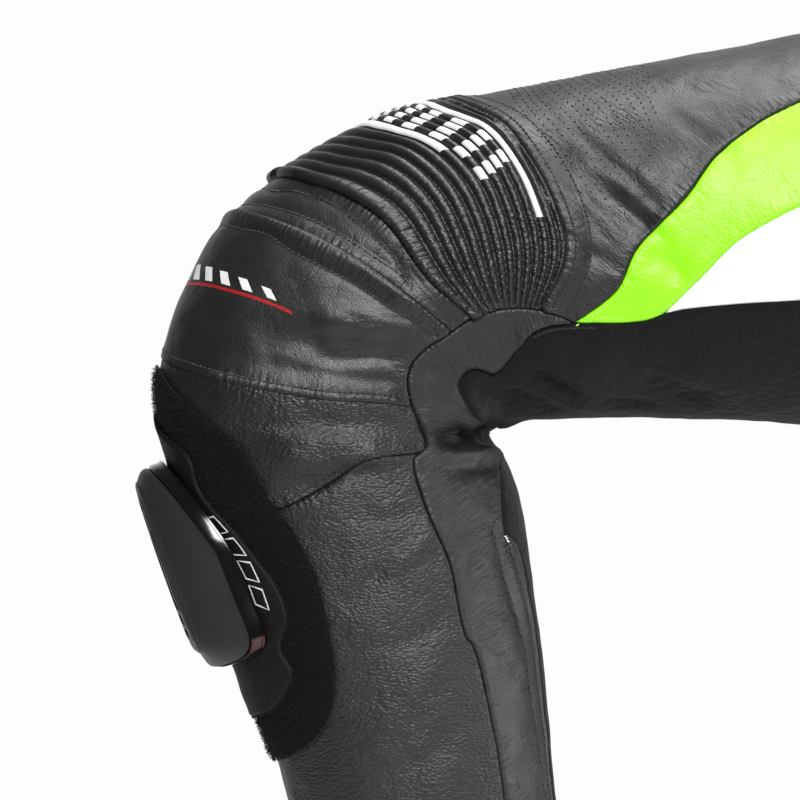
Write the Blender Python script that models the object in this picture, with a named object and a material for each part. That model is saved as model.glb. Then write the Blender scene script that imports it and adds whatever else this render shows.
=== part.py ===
"""Leather motorcycle trousers, hollow, in the riding pose that they are worn in.

Sizes are in millimetres until a mesh is made. +Z is up, the wearer faces -Y and the
wearer's right leg is at -X. The origin is the middle of the waist opening.

Every cut piece is a patch of one surface. A place on that surface is (station, around):
station runs from 0 at the waist to 1028 at the hem, about a millimetre along the leg's
back, and around is degrees round the leg, 0 at the front, 90 on the inner side, 180 at
the back and -90 on the outer side. The right half is built, and the left is its mirror.
"""
import math
from collections import namedtuple

import bpy
import numpy as np
from mathutils.geometry import delaunay_2d_cdt

# ---------------------------------------------------------------- driving dimensions (mm)
HEM = 1028.0
LEG_TURN = 30.0                 # each thigh points this far outwards, degrees
KNEE = np.array([-286.5, -298.3, -282.0])   # middle of the right knee
WALL = 1.8                      # leather with its backing
SEAM_GAP = 0.3                  # between two pieces
BRIDGE = 60.0                   # width of the hollow where the two thighs meet
GUSSET_AT = 128.0               # degrees: fullness of the inner back thigh
GUSSET_WIDE = 34.0
RIBS = 14                       # ribs of the knee accordion
RIB_HEIGHT = 2.6
RIB_STEP = 21.0                 # degrees between the points along a rib
BAND_WAIST = 38.0               # waistband height, in stations
FLAT_MM_PER_DEGREE = 1.4        # how wide a degree is drawn when the surface is laid flat
KNEE_SPACING = 17.0             # mesh spacing on the knee
PIT_SPACING = 10.0              # in the pit behind the knee
CROTCH_SPACING = 15.0           # within this many millimetres of the crotch:
CROTCH_FINE = 60.0
BODY_SPACING = 36.0             # and elsewhere
LOOP_THICK = 2.0                # fuzzy loop panel on the shin
PLATE_THICK = 2.2               # hook-backed plate of the knee slider
SLIDER_MIDDLE = (-100.0, -80.0)     # middle of the slider: towards the hip and up from the knee
SLIDER_LEAN = 20.1              # its lean from upright, degrees
SLIDER_FACING = 8.5             # how far it faces the inner side, degrees
SLIDER_ACROSS = 6.0             # how far it is worn towards the inner side
SLIDER_HALF_SIZE = (55.0, 48.0)     # half length and half width of its base
SLIDER_FACE_HALF_SIZE = (46.0, 30.0)    # and of its outer face
SLIDER_SHIFT = -1.0             # the slider's ends sit this far across from its middle line
SLIDER_TOP = 17.0               # how far the face stands off the plate
SLIDER_POINTS = 24              # points round the slider
BAND_THICK = 7.2                # glossy base of the slider
ZIP_SLIDER_AT = (1000.0, -189.2)    # station and degrees
ZIP_SLIDER_LIFT = 0.6           # clear of the tape
ZIP_SLIDER_WIDTH = 8.6
ZIP_SLIDER_LENGTH = 12.0
ZIP_SLIDER_THICK = 2.4
BRIDGE_WIDTH = 2.6              # arch that holds the pull tab
PULL_BAR = 1.5                  # bar of the tab's eye, and the tab's thickness
PULL_LENGTH = 24.0
SNAP_RADIUS = 8.0

# A section of the hip: points at the front and back of its middle line, how far its plane
# is turned, half widths to the inner and outer side, squareness, and inner back fullness.
HipRow = namedtuple("HipRow", "station front back turn inner outer square gusset")
HIP_ROWS = [
    HipRow(0, (0, -103, -22), (0, 113, 44), 0, 160, 160, 2.1, 0.00),
    HipRow(45, (-12, -106, -58), (-18, 143, -12), 0, 150, 158, 2.1, 0.00),
    HipRow(95, (-40, -104, -88), (-38, 168, -75), 2, 130, 145, 2.1, 0.00),
    HipRow(145, (-68, -102, -100), (-60, 178, -142), 5, 105, 128, 2.1, 0.08),
    HipRow(195, (-92, -103, -103), (-80, 165, -208), 10, 100, 116, 2.1, 0.22),
    HipRow(240, (-113, -104, -102), (-98, 118, -262), 16, 104, 108, 2.1, 0.28),
    HipRow(285, (-133, -105, -100), (-120, 55, -292), 22, 106, 104, 2.1, 0.20),
    HipRow(330, (-155, -107, -100), (-143, -18, -302), 27, 102, 101, 2.1, 0.08),
    HipRow(373, (-179, -112, -100), (-168, -92, -298), 30, 97, 98, 2.1, 0.00),
]
# A section of the leg: front and back of its middle line as (towards the hip, up) from
# the middle of the knee, half widths, and squareness.
LegRow = namedtuple("LegRow", "station front back inner outer square")
LEG_ROWS = [
    LegRow(419, (171.5, 174), (191, -12), 90, 92, 2.1),
    LegRow(474, (117.6, 163.7), (134.8, -8.8), 82, 85, 2.2),
    LegRow(518, (71, 154.8), (93, -8.8), 77, 80, 2.2),
    LegRow(560, (27, 146.5), (53, -10.3), 74, 76, 2.2),
    LegRow(577, (-7.4, 138.2), (47.5, -12.5), 72, 74, 2.2),
    LegRow(594, (-48, 116.5), (46.6, -13.5), 71, 73, 2.2),
    LegRow(611, (-76.5, 96.5), (46, -14), 70, 72, 2.3),
    LegRow(628, (-95.5, 74), (45.6, -14.5), 69, 71, 2.3),
    LegRow(645, (-112.7, 36.8), (45.2, -15.5), 68, 70, 2.3),
    LegRow(662, (-117.2, 2.5), (45, -16.3), 67, 69, 2.3),
    LegRow(679, (-111, -24.5), (45, -17), 66, 68, 2.2),
    LegRow(696, (-103, -53), (45.5, -18.5), 65, 67, 2.2),
    LegRow(721, (-94.6, -77.4), (56.4, -39), 64, 66, 2.1),
    LegRow(760, (-82.8, -113.7), (63.7, -78.4), 63, 64, 2.1),
    LegRow(829, (-59.5, -179), (71.5, -147), 60, 61, 2.1),
    LegRow(877, (-46, -224), (76.4, -196), 57, 58, 2.1),
    LegRow(941, (-26, -285), (84.3, -260), 52, 53, 2.1),
    LegRow(1028, (8.3, -366), (104, -344), 47, 48, 2.1),
]

# A seam, as the (station, around) pairs that it runs through. "starts" and "ends" name the
# seams that it meets there. A seam across the knee is drawn on both halves of the front.
Seam = namedtuple("Seam", "name starts ends points")
INNER_SEAM = [(380, 112), (466, 115), (494, 119), (524, 118), (542, 120), (552, 127), (567, 135),
              (585, 130), (604, 135), (615, 142), (633, 150), (657, 152), (673, 148), (695, 154),
              (706, 164), (721, 156), (743, 152), (773, 158), (806, 162), (900, 165), (HEM, 167)]
SIDE_FRONT = [(524, 118), (538, 113), (559, 111), (586, 114), (604, 115), (629, 118), (645, 124),
              (660, 128), (688, 128), (698, 121), (724, 119), (750, 123), (782, 123), (816, 128),
              (HEM, 131)]
OUTER_SEAM = [(BAND_WAIST, -93), (150, -97), (300, -104), (450, -110), (524, -116), (538, -113),
              (559, -111), (586, -114), (629, -118), (660, -126), (698, -122), (782, -124), (HEM, -131)]
BACK_SEAM = [(238, -216), (300, -198), (400, -178), (500, -166), (560, -157), (620, -152),
             (700, -156), (800, -163), (HEM, -167)]
WAIST_SEAM = [(BAND_WAIST, 4), (BAND_WAIST, -93), (BAND_WAIST, -187)]
ACROSS = {                      # half of each seam across the knee, from the front to the side
    "accordion_top": [(563, 0), (556, 28), (541, 48), (527, 71), (523, 93), (538, 113)],
    "accordion_low": [(602, 0), (596, 30), (592, 43), (586, 66), (582, 94), (570, 112)],
    "band_ridge": [(617, 0), (612, 31), (608, 47), (600, 73), (591, 102), (586, 114)],
    "band_low": [(651, 0), (653, 18), (655, 55), (654, 90), (650, 108), (645, 124)],
    "shin_seam": [(705, 0), (705, 40), (704, 64), (697, 89), (690, 105), (692, 125)],
}
OTHER_SEAMS = [
    Seam("green_top", "side_front", "inner_seam",
         [(524, 118), (503, 108), (491, 94), (468, 80), (445, 64), (400, 52), (350, 64), (316, 112)]),
    Seam("green_low", "inner_seam", "inner_seam",
         [(482, 117), (465, 106), (440, 92), (395, 82), (362, 90), (342, 112)]),
    Seam("outer_knee", "outer_seam", "back_seam", [(545, -113), (552, -135), (560, -157)]),
    Seam("zip_edge", "inner_seam", None,
         [(743, -208), (752, -199), (773, -195.5), (806, -191.5), (900, -188.5), (HEM, -185.5)]),
]
# Outlines of what lies on the panels.
LOOP_OUTLINE = [(656, 0), (656, 17), (667, 40), (679, 54), (695, 59), (715, 63), (745, 67), (775, 66),
                (800, 60), (816, 45), (822, 22), (824, 0)]
PLATE_OUTLINE = [(667, 0), (671, 12), (680, 31), (690, 32), (703, 40), (721, 45), (740, 51), (756, 52),
                 (765, 47), (772, 45.5), (780, 48), (788, 44), (797, 32), (800, 14), (801, 0)]
TAB_OUTLINE = [(6, 0), (6, -9), (19, -16), (32, -9), (32, 0)]
FLY_OUTLINE = [(42, 0), (42, -8), (100, 3), (140, 16), (165, 30), (172, 35)]

# A fold: the line that it follows, how high it stands (or sinks), and its half width.
Fold = namedtuple("Fold", "name line height width")
FOLDS = [
    Fold("knee pit crease", [(650, 180), (656, 153), (657, 137)], -7.0, 7.0),
    Fold("knee pit hollow", [(657, 143), (657, 134)], -7.0, 6.0),
    Fold("ledge below the pit", [(690, 134), (699, 148), (704, 178)], 3.5, 6.5),
    Fold("lobe above the pit", [(600, 150), (641, 150), (640, 138)], 5.0, 9.0),
    Fold("thigh underside lobe", [(566, 176), (572, -176)], 4.0, 9.0),
    Fold("shin roll", [(688, 62), (689, 92), (691, 116)], 2.6, 9.0),
    Fold("valley under the roll", [(697, 70), (694, 100), (697, 117)], -1.8, 6.0),
    Fold("stretch ridge 1", [(546, 123), (530, 137), (511, 160)], 4.5, 10.0),
    Fold("stretch valley 1", [(562, 140), (545, 152), (530, 168)], -3.5, 9.0),
    Fold("stretch ridge 2", [(520, 122), (504, 130), (484, 137), (455, 142)], 3.5, 11.0),
    Fold("stretch valley 2", [(500, 141), (480, 150), (455, 155)], -3.5, 12.0),
    Fold("band ridge", [(632, 74), (611, 107)], 3.0, 10.0),
    Fold("band valley", [(640, 66), (630, 93), (614, 113)], -3.0, 9.0),
    Fold("cup ridge", [(596, 88), (584, 107)], 2.0, 8.0),
    Fold("thigh ridge", [(522, 55), (495, 68), (482, 80)], 2.5, 12.0),
    Fold("thigh valley", [(515, 66), (503, 74), (489, 84), (482, 89)], -2.5, 10.0),
    Fold("green crease", [(488, 95), (470, 105)], -2.0, 7.0),
    Fold("side pinch 1", [(607, 121), (605, 138)], -2.0, 6.0),
    Fold("side pinch 2", [(640, 127), (636, 140)], 1.5, 6.0),
    Fold("outer pit crease", [(652, -180), (658, -150), (655, -132)], -4.0, 9.0),
    Fold("outer ledge", [(700, -134), (708, -150), (712, -172)], 2.0, 7.0),
    Fold("outer thigh pull 1", [(548, -118), (520, -128), (492, -140)], 3.0, 13.0),
    Fold("outer thigh pull 2", [(500, -96), (470, -112), (440, -120)], -3.0, 14.0),
    Fold("outer band ridge", [(628, -70), (612, -104)], 2.5, 11.0),
    Fold("seat pull 1", [(300, -190), (262, -165), (240, -135)], 4.0, 17.0),
    Fold("seat pull 2", [(250, -200), (205, -175), (180, -140)], -4.0, 18.0),
    Fold("hip crease 1", [(215, 30), (190, -10), (185, -45)], -5.0, 15.0),
    Fold("hip crease 2", [(262, 66), (232, 20), (225, -20)], -4.0, 14.0),
    Fold("hip ridge", [(240, 50), (212, 5), (205, -35)], 4.0, 15.0),
    Fold("inner thigh drag", [(330, 122), (380, 150), (420, 165)], -3.5, 16.0),
    Fold("calf sag 1", [(880, 60), (905, 10), (900, -50)], -2.5, 14.0),
    Fold("calf sag 2", [(930, -150), (915, -190), (925, -225)], -2.5, 13.0),
    Fold("ankle ridge", [(975, 110), (990, 40), (980, -30)], 2.5, 13.0),
]


# ---------------------------------------------------------------- the surface
def leg_directions():
    """Unit vectors in the ground plane: towards the hip along the leg, and to its outer side."""
    turn = math.radians(LEG_TURN)
    towards_hip = np.array([math.sin(turn), math.cos(turn), 0.0])
    outwards = np.array([-math.cos(turn), math.sin(turn), 0.0])
    return towards_hip, outwards


def section_table():
    """One row for each section: station, front xyz, back xyz, turn, inner, outer, square, gusset."""
    table = [[r.station, *r.front, *r.back, r.turn, r.inner, r.outer, r.square, r.gusset] for r in HIP_ROWS]
    towards_hip, _ = leg_directions()
    for r in LEG_ROWS:
        front = KNEE + r.front[0] * towards_hip + np.array([0, 0, r.front[1]])
        back = KNEE + r.back[0] * towards_hip + np.array([0, 0, r.back[1]])
        table.append([r.station, *front, *back, LEG_TURN, r.inner, r.outer, r.square, 0.0])
    return np.array(table, float)


SECTIONS = section_table()


def smooth_rows(table, station):
    """Rows between those of the table, on a smooth curve through them."""
    at, rows = table[:, 0], table[:, 1:]
    step = np.diff(at)[:, None]
    slope = np.diff(rows, axis=0) / step
    tangent = np.empty_like(rows)
    tangent[1:-1] = (slope[:-1] * step[1:] + slope[1:] * step[:-1]) / (step[:-1] + step[1:])
    tangent[0], tangent[-1] = slope[0], slope[-1]
    station = np.clip(station, at[0], at[-1])
    i = np.clip(np.searchsorted(at, station, side="right") - 1, 0, len(at) - 2)
    h = step[i]
    t = (station - at[i])[:, None] / h
    return ((2 * t**3 - 3 * t**2 + 1) * rows[i] + (t**3 - 2 * t**2 + t) * h * tangent[i]
            + (3 * t**2 - 2 * t**3) * rows[i + 1] + (t**3 - t**2) * h * tangent[i + 1])


def section_radius(around, half, inner, outer, square, gusset):
    """Distance from a section's middle to its edge: a rounded oval, fuller at the inner back."""
    angle = np.radians(around)
    side = np.where(np.sin(angle) > 0, inner, outer)
    oval = (np.abs(np.cos(angle) / half)**square + np.abs(np.sin(angle) / side)**square)**(-1 / square)
    off = (around - GUSSET_AT + 180) % 360 - 180
    return oval * (1 + gusset * np.exp(-(off / GUSSET_WIDE)**2))


def smooth_least(a, b, width):
    """The lesser of a and b, rounded where they are within width of each other."""
    h = np.maximum(width - np.abs(a - b), 0) / width
    return np.minimum(a, b) - h * h * width / 4


def base_point(station, around):
    """Points of the smooth body, with no folds. Above the crotch the two halves merge."""
    station, around = np.broadcast_arrays(np.asarray(station, float), np.asarray(around, float))
    shape = station.shape
    station, around = station.ravel(), around.ravel()
    v = smooth_rows(SECTIONS, station)
    middle = (v[:, 0:3] + v[:, 3:6]) / 2
    half = np.linalg.norm(v[:, 0:3] - v[:, 3:6], axis=1) / 2
    to_front = (v[:, 0:3] - v[:, 3:6]) / (2 * half)[:, None]
    turn = np.radians(v[:, 6])
    to_outer = np.stack([-np.cos(turn), np.sin(turn), 0 * turn], 1)
    to_outer = to_outer - (to_outer * to_front).sum(1)[:, None] * to_front
    to_outer /= np.linalg.norm(to_outer, axis=1)[:, None]
    angle = np.radians(around)
    ray = np.cos(angle)[:, None] * to_front - np.sin(angle)[:, None] * to_outer
    own = section_radius(around, half, *v[:, 7:11].T)
    reach = own.copy()
    near = station < 360        # only these sections come near the other leg
    if near.any():
        c, f, o, r = middle[near], to_front[near], to_outer[near], ray[near]
        sizes = [half[near], *v[near, 7:11].T]

        def outside(distance):
            mirrored = (c + r * distance[:, None]) * np.array([-1, 1, 1]) - c
            x, y = (mirrored * f).sum(1), -(mirrored * o).sum(1)
            other = np.hypot(x, y) - section_radius(np.degrees(np.arctan2(y, x)), *sizes)
            return smooth_least(distance - own[near], other, BRIDGE)

        low, high = own[near] * 0.9, own[near] * 1.35
        for _ in range(40):
            mid = (low + high) / 2
            inside = outside(mid) < 0
            low, high = np.where(inside, mid, low), np.where(inside, high, mid)
        reach[near] = (low + high) / 2
    return (middle + ray * reach[:, None]).reshape(shape + (3,))


def base_normal(station, around):
    """Outward unit normals of the smooth body."""
    station, around = np.asarray(station, float), np.asarray(around, float)
    step = 1.5
    upper = np.maximum(station - step, 0)
    lower = np.minimum(station + step, HEM)
    along = base_point(lower, around) - base_point(upper, around)
    round_it = base_point(station, around + step) - base_point(station, around - step)
    normal = np.cross(along, round_it)
    return normal / np.linalg.norm(normal, axis=-1, keepdims=True)


def fold_height(points):
    """How far the folds move each point of the smooth body along its normal."""
    total = np.zeros(len(points))
    for fold in FOLDS:
        line = base_point(*through(fold.line, 6).T)
        nearest = np.full(len(points), np.inf)
        place = np.zeros(len(points))
        for k, (a, b) in enumerate(zip(line[:-1], line[1:])):
            t = np.clip((points - a) @ (b - a) / max((b - a) @ (b - a), 1e-9), 0, 1)
            distance = np.linalg.norm(points - a - t[:, None] * (b - a), axis=1)
            closer = distance < nearest
            nearest = np.where(closer, distance, nearest)
            place = np.where(closer, (k + t) / (len(line) - 1), place)
        ends = np.clip(np.minimum(place, 1 - place) / 0.25, 0, 1)
        fade = 0.35 + 0.65 * ends * ends * (3 - 2 * ends)
        total += fold.height * fade * np.exp(-(nearest / fold.width)**2)
    return total


def find_crotch():
    """The last station whose section still reaches the middle plane, and where round it."""
    around = np.arange(60.0, 150.0, 0.5)
    low, high = 200.0, 359.0
    for _ in range(20):
        mid = (low + high) / 2
        reaches = base_point(np.full(len(around), mid), around)[:, 0].max() > -SEAM_GAP / 2
        low, high = (mid, high) if reaches else (low, mid)
    return low, around[np.argmax(base_point(np.full(len(around), low), around)[:, 0])]


CROTCH_STATION, CROTCH_AROUND = find_crotch()


# ---------------------------------------------------------------- seams drawn on the surface
def through(points, pieces):
    """A smooth curve through (station, around) pairs, with so many pieces between each two."""
    p = np.array(points, float)
    padded = np.vstack([2 * p[0] - p[1], p, 2 * p[-1] - p[-2]])
    t = np.linspace(0, 1, pieces, endpoint=False)[:, None]
    spans = []
    for a, b, c, d in zip(padded[:-3], padded[1:-2], padded[2:-1], padded[3:]):
        spans.append(b + 0.5 * t * (c - a + t * (2 * a - 5 * b + 4 * c - d + t * (3 * (b - c) + d - a))))
    return np.vstack(spans + [p[-1:]])


def spacing_at(station, around):
    """Mesh spacing: fine on the knee, finer in its pit and at the crotch, coarse elsewhere."""
    away = np.maximum(np.maximum(535 - station, station - 720), 0)
    spacing = KNEE_SPACING + (BODY_SPACING - KNEE_SPACING) * np.minimum(away / 60, 1)
    from_back = np.abs((np.asarray(around, float) % 360) - 180)
    pit = (from_back < 50) & (station > 560) & (station < 712)
    turn_away = np.abs(((around - CROTCH_AROUND + 180) % 360) - 180) * FLAT_MM_PER_DEGREE
    crotch = np.hypot(station - CROTCH_STATION, turn_away) < CROTCH_FINE
    return np.where(crotch, np.minimum(spacing, CROTCH_SPACING), np.where(pit, PIT_SPACING, spacing))


def resample(curve, factor=1.0):
    """Thin a dense curve to the mesh spacing, measured on the body, keeping its ends."""
    points = base_point(curve[:, 0], curve[:, 1])
    length = np.linalg.norm(np.diff(points, axis=0), axis=1)
    weight = np.concatenate([[0], np.cumsum(length / (factor * spacing_at(curve[1:, 0], curve[1:, 1])))])
    count = max(int(round(weight[-1])), 1)
    at = np.linspace(0, weight[-1], count + 1)
    return np.stack([np.interp(at, weight, curve[:, i]) for i in (0, 1)], 1)


def flat(place):
    """Millimetres on the laid-flat surface, for (station, around)."""
    return np.asarray(place, float) * np.array([1.0, FLAT_MM_PER_DEGREE])


class Drawing:
    """The seams of the right half: polylines whose points the pieces share."""

    def __init__(self):
        self.lines = {}

    def add(self, name, curve, starts=None, ends=None):
        curve = np.array(curve, float)
        if starts:
            curve[0] = self.meet(starts, curve[0])
        if ends:
            curve[-1] = self.meet(ends, curve[-1])
        self.lines[name] = curve

    def meet(self, name, place):
        """Put a point on a line, at its nearest place to this one, and return it."""
        line = self.lines[name]
        p, q = flat(line), flat(place)
        best = None
        for k, (a, b) in enumerate(zip(p[:-1], p[1:])):
            t = float(np.clip((q - a) @ (b - a) / ((b - a) @ (b - a)), 0, 1))
            gap = float(np.linalg.norm(q - a - t * (b - a)))
            if best is None or gap < best[0]:
                best = (gap, k, t)
        _, k, t = best
        near = 0.22             # closer to a point than this share of the span: use the point
        if t < near or t > 1 - near:
            return line[k if t < near else k + 1]
        point = line[k] + t * (line[k + 1] - line[k])
        self.lines[name] = np.insert(line, k + 1, point, axis=0)
        return point


def rise(side):
    """Where the surface meets the middle plane: side +1 is the front rise, -1 the back rise."""
    stations = np.append(np.arange(0, CROTCH_STATION - 4, 3.0), CROTCH_STATION)
    if side > 0:
        low, high = np.full(len(stations), -60.0), np.full(len(stations), CROTCH_AROUND)
    else:
        low, high = np.full(len(stations), -120.0), np.full(len(stations), CROTCH_AROUND - 360)
    for _ in range(30):
        mid = (low + high) / 2
        outside = base_point(stations, mid)[:, 0] > -SEAM_GAP / 2
        low, high = np.where(outside, low, mid), np.where(outside, mid, high)
    line = np.stack([stations, low], 1)
    line[-1, 1] = CROTCH_AROUND if side > 0 else CROTCH_AROUND - 360
    return line


def across(half):
    """A seam over the front of the knee, from the inner side seam to the outer one."""
    inner = through(half, 8)
    outer = inner[1:] * np.array([1.0, -1.0])
    return np.vstack([inner[::-1], outer])


def draw_seams():
    """All seams, with what they meet."""
    d = Drawing()
    crotch = (CROTCH_STATION, CROTCH_AROUND)
    d.add("front_rise", resample(rise(1)))
    d.add("back_rise", resample(rise(-1)))
    inner = resample(through([crotch] + INNER_SEAM, 8))
    d.add("inner_seam", inner)
    d.add("side_front", resample(through(SIDE_FRONT, 8)), starts="inner_seam")
    d.add("waist_seam", resample(through(WAIST_SEAM, 8)), starts="front_rise", ends="back_rise")
    d.add("outer_seam", resample(through(OUTER_SEAM, 8)), starts="waist_seam")
    d.add("back_seam", resample(through(BACK_SEAM, 8)), starts="back_rise")
    for name, half in ACROSS.items():
        d.add(name, resample(across(half)), starts="side_front", ends="outer_seam")
    for seam in OTHER_SEAMS:
        shift = np.array([0.0, 360.0]) if seam.name == "zip_edge" else 0.0
        curve = resample(through(seam.points, 8)) + shift
        d.add(seam.name, curve, starts=seam.starts, ends=seam.ends)
        d.lines[seam.name] = d.lines[seam.name] - shift
    d.lines["inner_seam_back"] = d.lines["inner_seam"] - np.array([0.0, 360.0])
    d.add("waist", [(0, a) for a in np.linspace(d.lines["front_rise"][0, 1], d.lines["back_rise"][0, 1], 25)])
    hem_ends = [d.lines[n][-1, 1] for n in
                ("inner_seam", "side_front", "outer_seam", "back_seam", "zip_edge", "inner_seam_back")]
    hem = []
    for a, b in zip(hem_ends[:-1], hem_ends[1:]):
        count = max(int(round((a - b) / 24)), 1)
        hem += [(HEM, v) for v in np.linspace(a, b, count, endpoint=False)]
    d.lines["hem"] = np.array(hem + [(HEM, hem_ends[-1])])
    return d


def overlay_loop(half, closed):
    """Outline of a piece that lies on the panels; a closed one is drawn on both sides of the front."""
    curve = resample(through(half, 6), 0.8)
    if closed:
        curve = np.vstack([curve, curve[::-1][1:-1] * np.array([1.0, -1.0])])
    return curve


# ---------------------------------------------------------------- mesh of the right half
def flat_area(triangle):
    """Area of a triangle of the laid-flat surface, positive where it faces outwards."""
    a, b, c = triangle
    return ((b[0] - a[0]) * (c[1] - a[1]) - (b[1] - a[1]) * (c[0] - a[0])) / 2


def inside_polygon(points, polygon):
    """True for each point inside a polygon."""
    x, y = points[:, 0][:, None], points[:, 1][:, None]
    x0, y0 = polygon[:, 0][None], polygon[:, 1][None]
    x1, y1 = np.roll(x0, -1), np.roll(y0, -1)
    with np.errstate(divide="ignore", invalid="ignore"):
        crosses = ((y0 > y) != (y1 > y)) & (x < (x1 - x0) * (y - y0) / (y1 - y0) + x0)
    return crosses.sum(1) % 2 == 1


def rib_lines():
    """Rows along the crests and valleys of the accordion."""
    top, low = across(ACROSS["accordion_top"]), across(ACROSS["accordion_low"])
    widest = 104.0
    around = np.linspace(widest, -widest, int(round(2 * widest / RIB_STEP)) + 1)
    top_at = np.interp(-around, -top[:, 1], top[:, 0])
    low_at = np.interp(-around, -low[:, 1], low[:, 0])
    rows = []
    for j in range(1, 2 * RIBS):
        share = j / (2 * RIBS)
        rows.append(np.stack([top_at + share * (low_at - top_at), around], 1))
    return rows


def rib_height(station, around):
    """Height of the accordion's ribs, fading out at its side seams."""
    top, low = across(ACROSS["accordion_top"]), across(ACROSS["accordion_low"])
    top_at = np.interp(-around, -top[:, 1], top[:, 0])
    low_at = np.interp(-around, -low[:, 1], low[:, 0])
    share = np.clip((station - top_at) / (low_at - top_at), 0, 1)
    fade = np.clip((113 - np.abs(around)) / 14, 0, 1)
    return RIB_HEIGHT * fade * np.abs(np.sin(np.pi * RIBS * share))


def fill_points(taken, boundary):
    """Points inside the half, spread by their real distance from each other and the seams."""
    near = base_point(taken[:, 0], taken[:, 1])
    chosen = []
    for station in np.arange(5.0, HEM, 5.0):
        for around in np.arange(CROTCH_AROUND + 60, CROTCH_AROUND - 370, -4.0):
            chosen.append((station, around, float(spacing_at(station, around))))
    grid = np.array(chosen)
    grid = grid[inside_polygon(flat(grid[:, :2]), boundary)]
    places = base_point(grid[:, 0], grid[:, 1])
    count = len(near)
    room = np.vstack([near, np.zeros((len(grid), 3))])
    kept = []
    for k, p in enumerate(places):
        gap = grid[k, 2]
        if np.abs(room[:count] - p).max(1).min() < gap * 0.62:
            if np.linalg.norm(room[:count] - p, axis=1).min() < gap * 0.82:
                continue
        room[count] = p
        count += 1
        kept.append(k)
    return grid[kept, :2]


def flip_long_edges(faces, places, points, fixed):
    """Turn edges inside the pieces so that the triangles are well shaped on the body."""
    faces = [tuple(f) for f in faces]
    for _ in range(12):
        owner = {}
        for i, f in enumerate(faces):
            for k in range(3):
                owner[(f[k], f[(k + 1) % 3])] = i
        done, touched = 0, set()
        for (a, b), i in list(owner.items()):
            j = owner.get((b, a))
            if j is None or a > b or i in touched or j in touched or frozenset((a, b)) in fixed:
                continue
            c = next(v for v in faces[i] if v not in (a, b))
            e = next(v for v in faces[j] if v not in (a, b))
            pa, pb, pc, pe = points[a], points[b], points[c], points[e]

            def corner(at, u, w):
                u, w = u - at, w - at
                return math.acos(np.clip(u @ w / (np.linalg.norm(u) * np.linalg.norm(w) + 1e-12), -1, 1))

            if corner(pc, pa, pb) + corner(pe, pa, pb) < math.pi + 0.02:
                continue

            halves = flat_area(places[[c, a, e]]), flat_area(places[[c, e, b]])
            if halves[0] * halves[1] <= 0 or min(abs(halves[0]), abs(halves[1])) < 0.5:
                continue
            faces[i], faces[j] = (c, a, e), (c, e, b)
            touched.update((i, j))
            done += 1
        if not done:
            break
    return faces


PANEL_SEEDS = {                 # a place inside each piece
    "waistband": (20, -60), "front_thigh": (400, 10), "green_insert": (440, 80),
    "white_insert": (420, 98), "knee_accordion": (580, 0), "knee_cup": (610, 0), "knee_band": (635, 0),
    "shin_upper": (680, 0), "shin_lower": (900, 0), "side_inner": (800, 140), "side_outer": (800, -145),
    "seat_back": (150, -140), "stretch": (450, -210), "zip_tape": (900, -192),
}


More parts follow.
